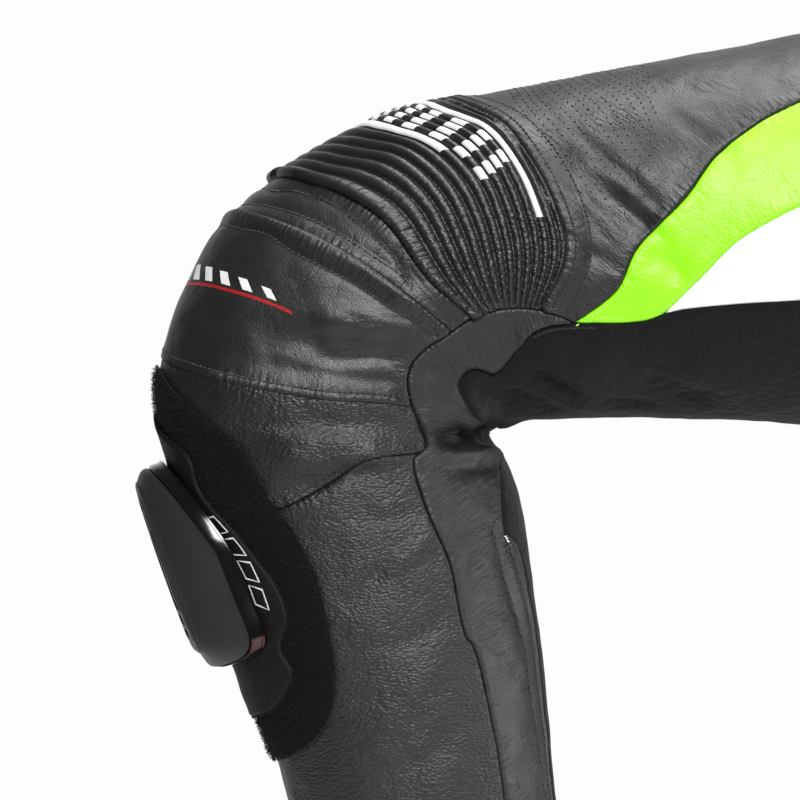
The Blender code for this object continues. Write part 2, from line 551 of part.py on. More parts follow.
class Half:
    """The meshed right half: points with their place, position, normal, and the faces of each piece."""

    def __init__(self):
        drawing = draw_seams()
        outlines = {"loop_panel": overlay_loop(LOOP_OUTLINE, True), "hook_plate": overlay_loop(PLATE_OUTLINE, True),
                    "waist_tab": overlay_loop(TAB_OUTLINE, False), "fly_flap": overlay_loop(FLY_OUTLINE, False)}
        for name in ("waist_tab", "fly_flap"):
            curve = outlines[name]
            curve[0] = drawing.meet("front_rise", curve[0])
            curve[-1] = drawing.meet("front_rise", curve[-1])
        coordinates, edges, separates = [], [], []

        def add_line(line, closed, separator):
            first = len(coordinates)
            coordinates.extend(flat(line))
            ids = list(range(first, len(coordinates))) + ([first] if closed else [])
            edges.extend(zip(ids[:-1], ids[1:]))
            separates.extend([separator] * (len(ids) - 1))

        for line in drawing.lines.values():
            add_line(line, False, True)
        for name, line in outlines.items():
            add_line(line, name in ("loop_panel", "hook_plate"), False)
        for line in rib_lines():
            add_line(line, False, False)
        lines = drawing.lines
        boundary = flat(np.vstack([lines["front_rise"], lines["inner_seam"][1:], lines["hem"][1:],
                                   lines["inner_seam_back"][::-1][1:], lines["back_rise"][::-1][1:],
                                   lines["waist"][::-1][1:-1]]))
        seam_places = np.array(coordinates) / np.array([1.0, FLAT_MM_PER_DEGREE])
        interior = fill_points(seam_places, boundary)
        coordinates.extend(flat(interior))
        result = delaunay_2d_cdt([tuple(c) for c in coordinates], edges, [], 0, 0.02, True)
        flat_points = np.array([tuple(v) for v in result[0]])
        fixed, walls = set(), set()
        for edge, origin in zip(result[1], result[4]):
            if origin:
                fixed.add(frozenset(edge))
                if any(o < len(separates) and separates[o] for o in origin):
                    walls.add(frozenset(edge))
        faces = np.array([tuple(f) for f in result[2]])
        middle = flat_points[faces].mean(1)
        faces = faces[inside_polygon(middle, boundary)]
        self.places = flat_points / np.array([1.0, FLAT_MM_PER_DEGREE])
        self.base = base_point(self.places[:, 0], self.places[:, 1])
        self.normal = base_normal(self.places[:, 0], self.places[:, 1])
        self.on_rise = np.zeros(len(flat_points), bool)
        self.settle_rise(flat_points, lines)
        faces = flip_long_edges(faces, flat_points, self.base, fixed)
        self.faces = np.array([self.outward(f, flat_points) for f in faces])
        self.surface = self.base + self.normal * fold_height(self.base)[:, None]
        self.pieces = self.name_pieces(walls, flat_points)
        middle = flat_points[self.faces].mean(1)
        for name, outline in outlines.items():
            polygon = flat(outline)
            if name in ("waist_tab", "fly_flap"):
                polygon = flat(np.vstack([outline, self.rise_between(lines, outline)]))
            self.pieces[name] = self.faces[inside_polygon(middle, polygon)]

    @staticmethod
    def rise_between(lines, outline):
        """The front rise from the end of an outline back to its start."""
        line = lines["front_rise"]
        low, high = sorted((outline[0, 0], outline[-1, 0]))
        part = line[(line[:, 0] > low) & (line[:, 0] < high)]
        return part[::-1] if outline[-1, 0] > outline[0, 0] else part

    def settle_rise(self, flat_points, lines):
        """Put the points of the front and back rise on the middle plane, with normals in it."""
        back = lines["back_rise"][::-1][1:]
        places = np.vstack([lines["front_rise"], back])
        inwards = np.concatenate([np.full(len(lines["front_rise"]), -1.0), np.full(len(back), 1.0)])
        inwards[len(lines["front_rise"]) - 1] = 0   # the crotch itself
        step = np.zeros(len(places))
        for _ in range(12):     # the thighs fold together here, so step in until the point is on this one
            points = base_point(places[:, 0], places[:, 1] + inwards * step)
            step += np.where(points[:, 0] > 1, 0.75, 0)
        points[:, 0] = -SEAM_GAP / 2
        along = np.gradient(points, axis=0)
        normals = np.stack([0 * along[:, 0], along[:, 2], -along[:, 1]], 1)
        normals /= np.linalg.norm(normals, axis=1)[:, None]
        crotch_again = flat((CROTCH_STATION, CROTCH_AROUND - 360))
        for place, point, normal in zip(flat(places), points, normals):
            on = np.abs(flat_points - place).sum(1) < 0.05
            if abs(place[0] - CROTCH_STATION) < 0.01:
                on |= np.abs(flat_points - crotch_again).sum(1) < 0.05
            self.on_rise |= on
            self.base[on] = point
            self.normal[on] = normal

    @staticmethod
    def outward(face, flat_points):
        """The face wound so that its normal points out of the body."""
        return face if flat_area(flat_points[list(face)]) > 0 else (face[0], face[2], face[1])

    def name_pieces(self, walls, flat_points):
        """Flood each piece from a place inside it, stopping at seams."""
        owner = {}
        for i, f in enumerate(self.faces):
            for k in range(3):
                owner.setdefault(frozenset((f[k], f[(k + 1) % 3])), []).append(i)
        middle = flat_points[self.faces].mean(1)
        taken, pieces = {}, {}
        for name, seed in PANEL_SEEDS.items():
            start = int(np.argmin(np.abs(middle - flat(seed)).sum(1)))
            if start in taken:
                raise ValueError(f"{name} and {taken[start]} are one piece")
            queue, found = [start], {start}
            while queue:
                f = self.faces[queue.pop()]
                for k in range(3):
                    edge = frozenset((f[k], f[(k + 1) % 3]))
                    if edge in walls:
                        continue
                    for other in owner[edge]:
                        if other not in found:
                            found.add(other)
                            queue.append(other)
            taken.update(dict.fromkeys(found, name))
            pieces[name] = self.faces[sorted(found)]
        left = [i for i in range(len(self.faces)) if i not in taken and flat_area(flat_points[self.faces[i]]) > 1]
        if left:
            raise ValueError(f"{len(left)} faces in no piece, near {self.places[self.faces[left[0]]].tolist()}")
        return pieces


# ---------------------------------------------------------------- solids
def material(name, colour, roughness, metallic=0.0):
    made = bpy.data.materials.get(name) or bpy.data.materials.new(name)
    made.use_nodes = True
    shader = made.node_tree.nodes["Principled BSDF"]
    shader.inputs["Base Color"].default_value = (*colour, 1)
    shader.inputs["Roughness"].default_value = roughness
    shader.inputs["Metallic"].default_value = metallic
    made.diffuse_color = (*colour, 1)
    return made


def add_object(name, points_mm, faces, finish):
    """A mesh object from points in millimetres."""
    mesh = bpy.data.meshes.new(name)
    mesh.from_pydata([tuple(float(c) / 1000 for c in p) for p in points_mm], [], [list(map(int, f)) for f in faces])
    mesh.materials.append(finish)
    mesh.validate()
    made = bpy.data.objects.new(name, mesh)
    bpy.context.scene.collection.objects.link(made)
    return made


def edge_inset(faces, points, normals, still, inset):
    """How far each border point moves into its piece, so that two pieces keep their gap."""
    used = {}
    for f in faces:
        for k in range(3):
            used[(f[k], f[(k + 1) % 3])] = True
    border = [(a, b) for a, b in used if (b, a) not in used]
    inward = {}
    for a, b in border:
        if still[a] and still[b]:
            continue
        side = np.cross(normals[a] + normals[b], points[b] - points[a])
        side /= np.linalg.norm(side)
        inward.setdefault(a, []).append(side)
        inward.setdefault(b, []).append(side)
    move = np.zeros_like(points)
    for v, sides in inward.items():
        total = np.sum(sides, axis=0)
        spread = max(total @ total / len(sides)**2, 0.12)
        move[v] = inset * (total / len(sides)) / spread
        if still[v]:
            move[v, 0] = 0
    return move, border


def wall_solid(name, faces, outer, inner, border, finish, mirrored):
    """A closed wall between two layers of the same faces."""
    used = sorted(set(faces.ravel()))
    index = {v: i for i, v in enumerate(used)}
    count = len(used)
    points = np.vstack([outer[used], inner[used]])
    all_faces = [[index[v] for v in f] for f in faces]
    all_faces += [[index[v] + count for v in f[::-1]] for f in faces]
    for a, b in border:
        turned = a > b          # two pieces that share a seam split its wall the same way
        a, b = index[a], index[b]
        if turned:
            all_faces += [[b, a, b + count], [a, a + count, b + count]]
        else:
            all_faces += [[b, a, a + count], [b, a + count, b + count]]
    if mirrored:
        points = points * np.array([-1, 1, 1])
        all_faces = [f[::-1] for f in all_faces]
    return add_object(name, points, all_faces, finish)


def cut_piece(half, name, faces, finish, low=-WALL, high=0.0, ribs=False):
    """One sewn piece, right and left: the wall between two heights over the folded surface."""
    move, border = edge_inset(faces, half.surface, half.normal, half.on_rise, SEAM_GAP / 2)
    lift = np.full(len(half.surface), high)
    if ribs:
        lift += rib_height(half.places[:, 0], half.places[:, 1])
    outer = half.surface + move + half.normal * lift[:, None]
    inner = half.surface + move + half.normal * low
    for side, mirrored in (("right", False), ("left", True)):
        wall_solid(f"{side}_{name}", faces, outer, inner, border, finish, mirrored)


def middle_piece(half, name, faces, finish, low, high):
    """A piece that lies over the centre front: the right faces and their mirror, joined."""
    points = half.surface.copy()
    points[half.on_rise, 0] = 0
    count = len(points)
    mirrored = points * np.array([-1, 1, 1])
    normals = np.vstack([half.normal, half.normal * np.array([-1, 1, 1])])
    both = np.vstack([points, mirrored])
    twin = np.where(half.on_rise, np.arange(count), np.arange(count) + count)
    all_faces = np.vstack([faces, twin[faces][:, ::-1]])
    move, border = edge_inset(all_faces, both, normals, np.zeros(len(both), bool), 0.0)
    outer, inner = both + normals * high, both + normals * low
    wall_solid(name, all_faces, outer + move, inner + move, border, finish, False)


# ---------------------------------------------------------------- hard pieces
def solid_rings(name, rings, finish, turned_from=99):
    """A closed body through rings of points, its ends closed by their middles. From one ring on,
    the squares between rings are split along their other diagonal."""
    count = len(rings[0])
    points = [rings[0].mean(0)] + [p for ring in rings for p in ring] + [rings[-1].mean(0)]
    faces = []
    for i in range(count):
        j = (i + 1) % count
        faces.append((0, 1 + j, 1 + i))
        for k in range(len(rings) - 1):
            a, b = 1 + k * count, 1 + (k + 1) * count
            if k < turned_from:
                faces += [(a + i, a + j, b + j), (a + i, b + j, b + i)]
            else:
                faces += [(a + i, a + j, b + i), (a + j, b + j, b + i)]
        last = 1 + (len(rings) - 1) * count
        faces.append((last + i, last + j, len(points) - 1))
    return add_object(name, points, faces, finish)


def both_sides(make):
    """Make a piece for the right leg and its mirror for the left."""
    for side, mirror in (("right", 1), ("left", -1)):
        make(side, mirror)


class SliderFrame:
    """Axes of the knee slider: along it (down the shin), across (to the inner side) and out."""

    def __init__(self):
        towards_hip, outwards = leg_directions()
        lean = math.radians(SLIDER_LEAN)
        along = math.sin(lean) * towards_hip - math.cos(lean) * np.array([0, 0, 1.0])
        out = -math.cos(lean) * towards_hip - math.sin(lean) * np.array([0, 0, 1.0])
        face = math.radians(SLIDER_FACING)
        self.across = -outwards * math.cos(face) - out * math.sin(face)
        self.out = out * math.cos(face) - outwards * math.sin(face)
        self.along = along
        self.middle = KNEE + SLIDER_MIDDLE[0] * towards_hip + np.array([0, 0, SLIDER_MIDDLE[1]])

    def to_world(self, local):
        return self.middle + local[:, :1] * self.along + local[:, 1:2] * self.across + local[:, 2:] * self.out

    def to_local(self, points):
        d = points - self.middle
        return np.stack([d @ self.along, d @ self.across, d @ self.out], 1)

    def height_over_leg(self, outline, lift):
        """Height in this frame of the lifted leg surface under each (along, across) pair."""
        place = np.stack([733 + outline[:, 0], outline[:, 1] / 1.15], 1)

        def local(place):
            station, around = place.T
            return self.to_local(base_point(station, around) + base_normal(station, around) * lift)

        for _ in range(12):
            now = local(place)
            by_station = (local(place + np.array([0.5, 0])) - now)[:, :2] / 0.5
            by_around = (local(place + np.array([0, 0.5])) - now)[:, :2] / 0.5
            miss = outline - now[:, :2]
            det = by_station[:, 0] * by_around[:, 1] - by_station[:, 1] * by_around[:, 0]
            step = np.stack([(miss[:, 0] * by_around[:, 1] - miss[:, 1] * by_around[:, 0]) / det,
                             (by_station[:, 0] * miss[:, 1] - by_station[:, 1] * miss[:, 0]) / det], 1)
            place = place + np.clip(step, -12, 12)
        return local(place)[:, 2]


def slider_outline(half_length, half_width, shift=0.0):
    """Egg-shaped outline of the knee slider, wider towards its lower end."""
    turn = np.linspace(0, 2 * math.pi, SLIDER_POINTS, endpoint=False)
    square = np.where(np.cos(turn) > 0, 0.62, 0.85)
    along = half_length * np.sign(np.cos(turn)) * np.abs(np.cos(turn))**square + shift
    across = half_width * np.sign(np.sin(turn)) * np.abs(np.sin(turn))**0.8 * (1 + 0.16 * np.cos(turn))
    return np.stack([along, across + SLIDER_ACROSS], 1)


def knee_slider(leather_stack, band_finish, block_finish):
    """The glossy base band and the matte wear block, curved under to lie on the hook plate."""
    frame = SliderFrame()
    half_length, half_width = SLIDER_HALF_SIZE
    under = []
    for size in (0.3, 0.66, 1.0):
        ring = slider_outline(half_length * size, half_width * size, SLIDER_SHIFT)
        spare = 0.8 if size == 1.0 else 1.2
        height = frame.height_over_leg(ring, leather_stack + spare)
        under.append(np.column_stack([ring, height]))
    edge = under[-1]

    def raised(ring, by):
        return ring + np.array([0, 0, by])

    band = under + [raised(r, BAND_THICK) for r in under[::-1]]
    block_low = BAND_THICK + SEAM_GAP
    top = np.column_stack([slider_outline(*SLIDER_FACE_HALF_SIZE, SLIDER_SHIFT - 2),
                           np.full(SLIDER_POINTS, SLIDER_TOP - 3.5)])
    block = [raised(r, block_low) for r in under]
    for share, swell in ((0.3, 1.6), (0.72, 1.8)):
        ring = raised(edge, block_low) * (1 - share) + top * share
        middle = ring.mean(0)
        spread = ring - middle
        spread[:, :2] *= 1 + swell / np.maximum(np.linalg.norm(spread[:, :2], axis=1), 1)[:, None]
        block.append(middle + spread)
    block.append(top)
    for size, rise_by in ((0.93, 2.2), (0.6, 3.3), (0.25, 3.5)):
        middle = top.mean(0)
        ring = middle + (top - middle) * np.array([size, size, 1])
        block.append(raised(ring, rise_by))

    def make(side, mirror):
        for name, rings, finish in (("slider_band", band, band_finish), ("slider_puck", block, block_finish)):
            world = [frame.to_world(r) * np.array([mirror, 1, 1]) for r in rings]
            order = world if mirror > 0 else [np.roll(r[::-1], 1, axis=0) for r in world]
            solid_rings(f"{side}_{name}", order, finish, turned_from=3)

    both_sides(make)


def zip_frame(mirror):
    """Middle of the zip slider on the tape, and unit vectors across, down the leg and out."""
    place = np.array(ZIP_SLIDER_AT, float)
    point = base_point(*place)
    out = base_normal(*place)
    down = base_point(place[0] + 8, place[1]) - base_point(place[0] - 8, place[1])
    down -= (down @ out) * out
    down /= np.linalg.norm(down)
    flip = np.array([mirror, 1, 1])
    return point * flip, np.cross(out, down) * flip, down * flip, out * flip


def prism(name, outline, low, high, axes, middle, finish):
    """An outline in the plane of the first two axes, extruded along the third."""
    count = len(outline)
    a, b, c = axes
    points = [middle + x * a + y * b + h * c for h in (low, high) for x, y in outline]
    faces = [tuple(range(count))[::-1], tuple(range(count, 2 * count))]
    faces += [(i, (i + 1) % count, (i + 1) % count + count, i + count) for i in range(count)]
    if np.cross(a, b) @ c < 0:
        faces = [f[::-1] for f in faces]
    return add_object(name, points, faces, finish)


def join_with(target, other):
    """Fuse another shape into the target with a Boolean union."""
    other.hide_render = True
    other.display_type = "WIRE"
    fuse = target.modifiers.new("join", "BOOLEAN")
    fuse.operation, fuse.object, fuse.solver = "UNION", other, "EXACT"


def cut_with(target, other):
    """Cut another shape out of the target with a Boolean difference."""
    other.hide_render = True
    other.display_type = "WIRE"
    cut = target.modifiers.new("cut", "BOOLEAN")
    cut.operation, cut.object, cut.solver = "DIFFERENCE", other, "EXACT"


def calf_zip_hardware(finish):
    """Slider of each calf zip with its bridge, and the pull tab that swings on it."""

    def make(side, mirror):
        middle, across, down, out = zip_frame(mirror)
        base = middle + out * ZIP_SLIDER_LIFT
        w, l = ZIP_SLIDER_WIDTH / 2, ZIP_SLIDER_LENGTH / 2
        body = prism(f"{side}_zip_slider", [(-w, -l), (w, -l), (w, -1), (w * 0.62, l), (-w * 0.62, l), (-w, -1)],
                     0, ZIP_SLIDER_THICK, (across, down, out), base, finish)
        top = base + out * (ZIP_SLIDER_THICK - 0.4)
        arch = prism(f"{side}_bridge", [(-4.2, 0), (4.2, 0), (3.4, 4.6), (-3.4, 4.6)],
                     -BRIDGE_WIDTH / 2, BRIDGE_WIDTH / 2, (down, out, across), top, finish)
        hole = prism(f"{side}_bridge_hole", [(-1.7, 0.7), (1.7, 0.7), (1.7, 3.6), (-1.7, 3.6)],
                     -BRIDGE_WIDTH, BRIDGE_WIDTH, (down, out, across), top, finish)
        join_with(body, arch)
        cut_with(body, hole)
        pivot = top + out * 2.15
        tab = pull_tab(f"{side}_zip_pull", across, down, out, finish)
        tab.location = tuple(float(c) / 1000 for c in pivot)

    both_sides(make)


def pull_tab(name, across, down, out, finish):
    """A flat tab with a square eye whose upper bar passes through the bridge."""
    bar, eye_half, eye_long, thick = PULL_BAR / 2, BRIDGE_WIDTH / 2 + 0.5, 4.2, PULL_BAR
    arm, long, end = eye_half + 1.5, PULL_LENGTH, 2.6
    tab = prism(name, [(-arm, -bar), (arm, -bar), (arm, 7), (end + 0.6, long - 2), (end - 1, long),
                       (1 - end, long), (-end - 0.6, long - 2), (-arm, 7)],
                -thick / 2, thick / 2, (across, down, out), np.zeros(3), finish)
    eye = prism(name + "_eye", [(-eye_half, bar), (eye_half, bar), (eye_half, bar + eye_long),
                                (-eye_half, bar + eye_long)],
                -thick, thick, (across, down, out), np.zeros(3), finish)
    eye.parent = tab
    cut_with(tab, eye)
    return tab


def snap_button(finish):
    """Domed cap of the waist snap, on the waist tab."""
    place = (19.0, 0.0)
    out = base_normal(*place)
    out[0] = 0
    out /= np.linalg.norm(out)
    across = np.array([1.0, 0, 0])
    up = np.cross(out, across)
    middle = base_point(*place)
    middle[0] = 0
    middle = middle + out * (2 * SEAM_GAP + WALL + 0.7)
    rings = []
    for radius, height in ((SNAP_RADIUS - 1.2, 0), (SNAP_RADIUS, 0.6), (SNAP_RADIUS, 1.4),
                           (SNAP_RADIUS - 1.4, 2.5), (SNAP_RADIUS - 4.5, 3.1)):
        turn = np.linspace(0, 2 * math.pi, 20, endpoint=False)
        rings.append(np.array([middle + radius * (math.cos(t) * across + math.sin(t) * up) + height * out
                               for t in turn]))
    solid_rings("snap", rings, finish)


def main():
    for old in list(bpy.data.objects):
        bpy.data.objects.remove(old)
    leather = material("black leather", (0.022, 0.022, 0.024), 0.5)
    grain = material("pebbled black leather", (0.018, 0.018, 0.02), 0.55)
    rib_leather = material("ribbed black leather", (0.016, 0.016, 0.018), 0.5)
    green = material("green leather", (0.26, 0.95, 0.01), 0.5)
    white = material("white leather", (0.8, 0.8, 0.8), 0.5)
    cloth = material("black stretch cloth", (0.012, 0.012, 0.014), 0.9)
    loop = material("black loop pile", (0.006, 0.006, 0.007), 1.0)
    plate = material("hook plate", (0.02, 0.015, 0.015), 0.5)
    half = Half()
    finishes = {"green_insert": green, "white_insert": white, "knee_accordion": rib_leather,
                "shin_upper": grain, "shin_lower": grain, "stretch": cloth, "zip_tape": cloth}
    for name in PANEL_SEEDS:
        cut_piece(half, name, half.pieces[name], finishes.get(name, leather), ribs=name == "knee_accordion")
    gap = SEAM_GAP
    cut_piece(half, "loop_panel", half.pieces["loop_panel"], loop, gap, gap + LOOP_THICK)
    plate_low = 2 * gap + LOOP_THICK
    cut_piece(half, "hook_plate", half.pieces["hook_plate"], plate, plate_low, plate_low + PLATE_THICK)
    middle_piece(half, "fly_flap", half.pieces["fly_flap"], leather, gap, gap + WALL)
    middle_piece(half, "waist_tab", half.pieces["waist_tab"], leather, gap, gap + WALL)
    knee_slider(plate_low + PLATE_THICK + gap, material("glossy slider band", (0.01, 0.01, 0.01), 0.12),
                material("matte slider block", (0.035, 0.035, 0.038), 0.6))
    metal = material("dark zip metal", (0.25, 0.25, 0.26), 0.35, 1.0)
    calf_zip_hardware(metal)
    snap_button(metal)


main()
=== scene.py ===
# %% [markdown]
# # Leather motorcycle trousers in riding pose
# Leather riding trousers are sewn from about forty cut pieces, and they keep the bend of a seated
# rider even when nobody is in them. The CAD model already has each cut piece as a plain wall. Here
# every piece is made again as a fine shell on the same body, because leather is told by small
# things: how an edge rolls into its seam, how a fold softens, and how the stitches sink.

# %%
import math
from collections import namedtuple

import bpy
import numpy as np
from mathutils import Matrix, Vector, noise
from mathutils.bvhtree import BVHTree
from mathutils.geometry import delaunay_2d_cdt
from mathutils.kdtree import KDTree


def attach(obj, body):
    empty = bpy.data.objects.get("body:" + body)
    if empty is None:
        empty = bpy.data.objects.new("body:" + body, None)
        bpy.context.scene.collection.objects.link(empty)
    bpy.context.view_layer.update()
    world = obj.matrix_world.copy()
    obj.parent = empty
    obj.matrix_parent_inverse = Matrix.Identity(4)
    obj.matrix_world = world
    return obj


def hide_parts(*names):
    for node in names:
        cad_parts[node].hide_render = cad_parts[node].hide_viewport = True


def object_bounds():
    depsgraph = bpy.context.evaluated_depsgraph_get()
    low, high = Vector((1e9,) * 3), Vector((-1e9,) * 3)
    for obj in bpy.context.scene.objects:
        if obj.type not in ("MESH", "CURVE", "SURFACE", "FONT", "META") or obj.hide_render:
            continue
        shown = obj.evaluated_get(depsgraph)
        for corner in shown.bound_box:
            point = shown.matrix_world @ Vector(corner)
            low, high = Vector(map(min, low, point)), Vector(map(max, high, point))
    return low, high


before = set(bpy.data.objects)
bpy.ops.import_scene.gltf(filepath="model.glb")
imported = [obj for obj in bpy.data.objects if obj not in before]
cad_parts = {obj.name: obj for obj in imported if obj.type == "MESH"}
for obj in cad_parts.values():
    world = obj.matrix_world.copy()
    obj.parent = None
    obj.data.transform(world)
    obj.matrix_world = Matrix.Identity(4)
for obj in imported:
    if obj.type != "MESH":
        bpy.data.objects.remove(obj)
CAD_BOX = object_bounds()

# %% [markdown]
# ## Sizes
# The script works in millimetres, as a pattern cutter does, and turns to metres only where a mesh
# is made. A place on a leg is a pair: the station, about a millimetre along the back of the leg
# from the waist (0) to the hem (1028), and the degrees round it. 0 is the front, 90 the inner side.

# %% Named sizes
HEM = 1028.0
LEG_TURN = 30.0                     # each thigh points this far outwards
KNEE = np.array([-286.5, -298.3, -282.0])
WALL = 1.8                          # leather with its backing
BRIDGE = 60.0                       # hollow where the thighs meet
GUSSET_AT, GUSSET_WIDE = 128.0, 34.0
RIBS = 14
BAND_WAIST = 38.0
FLAT_MM_PER_DEGREE = 1.4
GAP = 0.3                           # between two solids that touch
FINE, COARSE = 2.6, 7.0             # mesh spacing on the knee and far from it
RIB_ROWS = 8                        # rows of points across one rib
MIRROR = np.array([-1.0, 1.0, 1.0])

# %% [markdown]
# ## The body that the cloth lies on
# A worn garment has the form of a general figure: an oval hip that parts into two legs, each bent
# at the knee. Two tables hold its sections, and a smooth curve runs between their rows. A table is
# used because a leg has no formula, while its sections are few and each can be read and corrected.

# %% Sections of the hip and leg
HipRow = namedtuple("HipRow", "station front back turn inner outer square gusset")
HIP_ROWS = [
    HipRow(0, (0, -103, -22), (0, 113, 44), 0, 160, 160, 2.1, 0.00),
    HipRow(45, (-12, -106, -58), (-18, 143, -12), 0, 150, 158, 2.1, 0.00),
    HipRow(95, (-40, -104, -88), (-38, 168, -75), 2, 130, 145, 2.1, 0.00),
    HipRow(145, (-68, -102, -100), (-60, 178, -142), 5, 105, 128, 2.1, 0.08),
    HipRow(195, (-92, -103, -103), (-80, 165, -208), 10, 100, 116, 2.1, 0.22),
    HipRow(240, (-113, -104, -102), (-98, 118, -262), 16, 104, 108, 2.1, 0.28),
    HipRow(285, (-133, -105, -100), (-120, 55, -292), 22, 106, 104, 2.1, 0.20),
    HipRow(330, (-155, -107, -100), (-143, -18, -302), 27, 102, 101, 2.1, 0.08),
    HipRow(373, (-179, -112, -100), (-168, -92, -298), 30, 97, 98, 2.1, 0.00),
]
LegRow = namedtuple("LegRow", "station front back inner outer square")
LEG_ROWS = [
    LegRow(419, (171.5, 174), (191, -12), 90, 92, 2.1),
    LegRow(474, (117.6, 163.7), (134.8, -8.8), 82, 85, 2.2),
    LegRow(518, (71, 154.8), (93, -8.8), 77, 80, 2.2),
    LegRow(560, (27, 146.5), (53, -10.3), 74, 76, 2.2),
    LegRow(577, (-7.4, 138.2), (47.5, -12.5), 72, 74, 2.2),
    LegRow(594, (-48, 116.5), (46.6, -13.5), 71, 73, 2.2),
    LegRow(611, (-76.5, 96.5), (46, -14), 70, 72, 2.3),
    LegRow(628, (-95.5, 74), (45.6, -14.5), 69, 71, 2.3),
    LegRow(645, (-112.7, 36.8), (45.2, -15.5), 68, 70, 2.3),
    LegRow(662, (-117.2, 2.5), (45, -16.3), 67, 69, 2.3),
    LegRow(679, (-111, -24.5), (45, -17), 66, 68, 2.2),
    LegRow(696, (-103, -53), (45.5, -18.5), 65, 67, 2.2),
    LegRow(721, (-94.6, -77.4), (56.4, -39), 64, 66, 2.1),
    LegRow(760, (-82.8, -113.7), (63.7, -78.4), 63, 64, 2.1),
    LegRow(829, (-59.5, -179), (71.5, -147), 60, 61, 2.1),
    LegRow(877, (-46, -224), (76.4, -196), 57, 58, 2.1),
    LegRow(941, (-26, -285), (84.3, -260), 52, 53, 2.1),
    LegRow(1028, (8.3, -366), (104, -344), 47, 48, 2.1),
]


def leg_directions():
    """Unit vectors: towards the hip along the leg, and to its outer side."""
    turn = math.radians(LEG_TURN)
    return np.array([math.sin(turn), math.cos(turn), 0.0]), np.array([-math.cos(turn), math.sin(turn), 0.0])


def section_table():
    """One row for each section: station, front xyz, back xyz, turn, inner, outer, square, gusset."""
    table = [[r.station, *r.front, *r.back, r.turn, r.inner, r.outer, r.square, r.gusset] for r in HIP_ROWS]
    hipwards, _ = leg_directions()
    for r in LEG_ROWS:
        ends = [KNEE + away * hipwards + np.array([0, 0, up]) for away, up in (r.front, r.back)]
        table.append([r.station, *ends[0], *ends[1], LEG_TURN, r.inner, r.outer, r.square, 0.0])
    return np.array(table, float)


SECTIONS = section_table()
print(len(SECTIONS), "sections")

# %% Points and normals of the body


def smooth_rows(table, station):
    """Rows between those of the table, on a smooth curve through them."""
    at, rows = table[:, 0], table[:, 1:]
    step = np.diff(at)[:, None]
    slope = np.diff(rows, axis=0) / step
    tangent = np.empty_like(rows)
    tangent[1:-1] = (slope[:-1] * step[1:] + slope[1:] * step[:-1]) / (step[:-1] + step[1:])
    tangent[0], tangent[-1] = slope[0], slope[-1]
    station = np.clip(station, at[0], at[-1])
    i = np.clip(np.searchsorted(at, station, side="right") - 1, 0, len(at) - 2)
    h = step[i]
    t = (station - at[i])[:, None] / h
    return ((2 * t**3 - 3 * t**2 + 1) * rows[i] + (t**3 - 2 * t**2 + t) * h * tangent[i]
            + (3 * t**2 - 2 * t**3) * rows[i + 1] + (t**3 - t**2) * h * tangent[i + 1])


def section_radius(around, half, inner, outer, square, gusset):
    """Distance from a section's middle to its edge: a rounded oval, fuller at the inner back."""
    angle = np.radians(around)
    side = np.where(np.sin(angle) > 0, inner, outer)
    oval = (np.abs(np.cos(angle) / half)**square + np.abs(np.sin(angle) / side)**square)**(-1 / square)
    off = (around - GUSSET_AT + 180) % 360 - 180
    return oval * (1 + gusset * np.exp(-(off / GUSSET_WIDE)**2))


def smooth_least(a, b, width):
    """The lesser of a and b, rounded where they are within width of each other."""
    h = np.maximum(width - np.abs(a - b), 0) / width
    return np.minimum(a, b) - h * h * width / 4


def merged_reach(middle, to_front, ray, own, sizes):
    """How far the body reaches along each ray where its two halves run together."""
    def outside(distance):
        mirrored = (middle + ray * distance[:, None]) * MIRROR - middle
        x = (mirrored * to_front).sum(1)
        y = -(mirrored * sizes["to_outer"]).sum(1)
        other = np.hypot(x, y) - section_radius(np.degrees(np.arctan2(y, x)), *sizes["oval"])
        return smooth_least(distance - own, other, BRIDGE)

    low, high = own * 0.9, own * 1.35
    for _ in range(24):
        mid = (low + high) / 2
        inside = outside(mid) < 0
        low, high = np.where(inside, mid, low), np.where(inside, high, mid)
    return (low + high) / 2


def base_point(station, around):
    """Points of the smooth body, with no folds."""
    station, around = np.broadcast_arrays(np.asarray(station, float), np.asarray(around, float))
    shape = station.shape
    station, around = station.ravel(), around.ravel()
    v = smooth_rows(SECTIONS, station)
    middle = (v[:, 0:3] + v[:, 3:6]) / 2
    half = np.linalg.norm(v[:, 0:3] - v[:, 3:6], axis=1) / 2
    to_front = (v[:, 0:3] - v[:, 3:6]) / (2 * half)[:, None]
    turn = np.radians(v[:, 6])
    to_outer = np.stack([-np.cos(turn), np.sin(turn), 0 * turn], 1)
    to_outer = to_outer - (to_outer * to_front).sum(1)[:, None] * to_front
    to_outer /= np.linalg.norm(to_outer, axis=1)[:, None]
    angle = np.radians(around)
    ray = np.cos(angle)[:, None] * to_front - np.sin(angle)[:, None] * to_outer
    reach = section_radius(around, half, *v[:, 7:11].T)
    near = station < 360            # only these sections come near the other leg
    if near.any():
        sizes = {"oval": [half[near], *v[near, 7:11].T], "to_outer": to_outer[near]}
        reach[near] = merged_reach(middle[near], to_front[near], ray[near], reach[near], sizes)
    return (middle + ray * reach[:, None]).reshape(shape + (3,))


def base_frame(station, around):
    """The outward normal at each place, and how a point moves for one station and one degree."""
    station, around = np.asarray(station, float), np.asarray(around, float)
    step = 1.5
    upper, lower = np.maximum(station - step, 0), np.minimum(station + step, HEM)
    along = (base_point(lower, around) - base_point(upper, around)) / (lower - upper)[..., None]
    round_it = (base_point(station, around + step) - base_point(station, around - step)) / (2 * step)
    normal = np.cross(along, round_it)
    return normal / np.linalg.norm(normal, axis=-1, keepdims=True), along, round_it


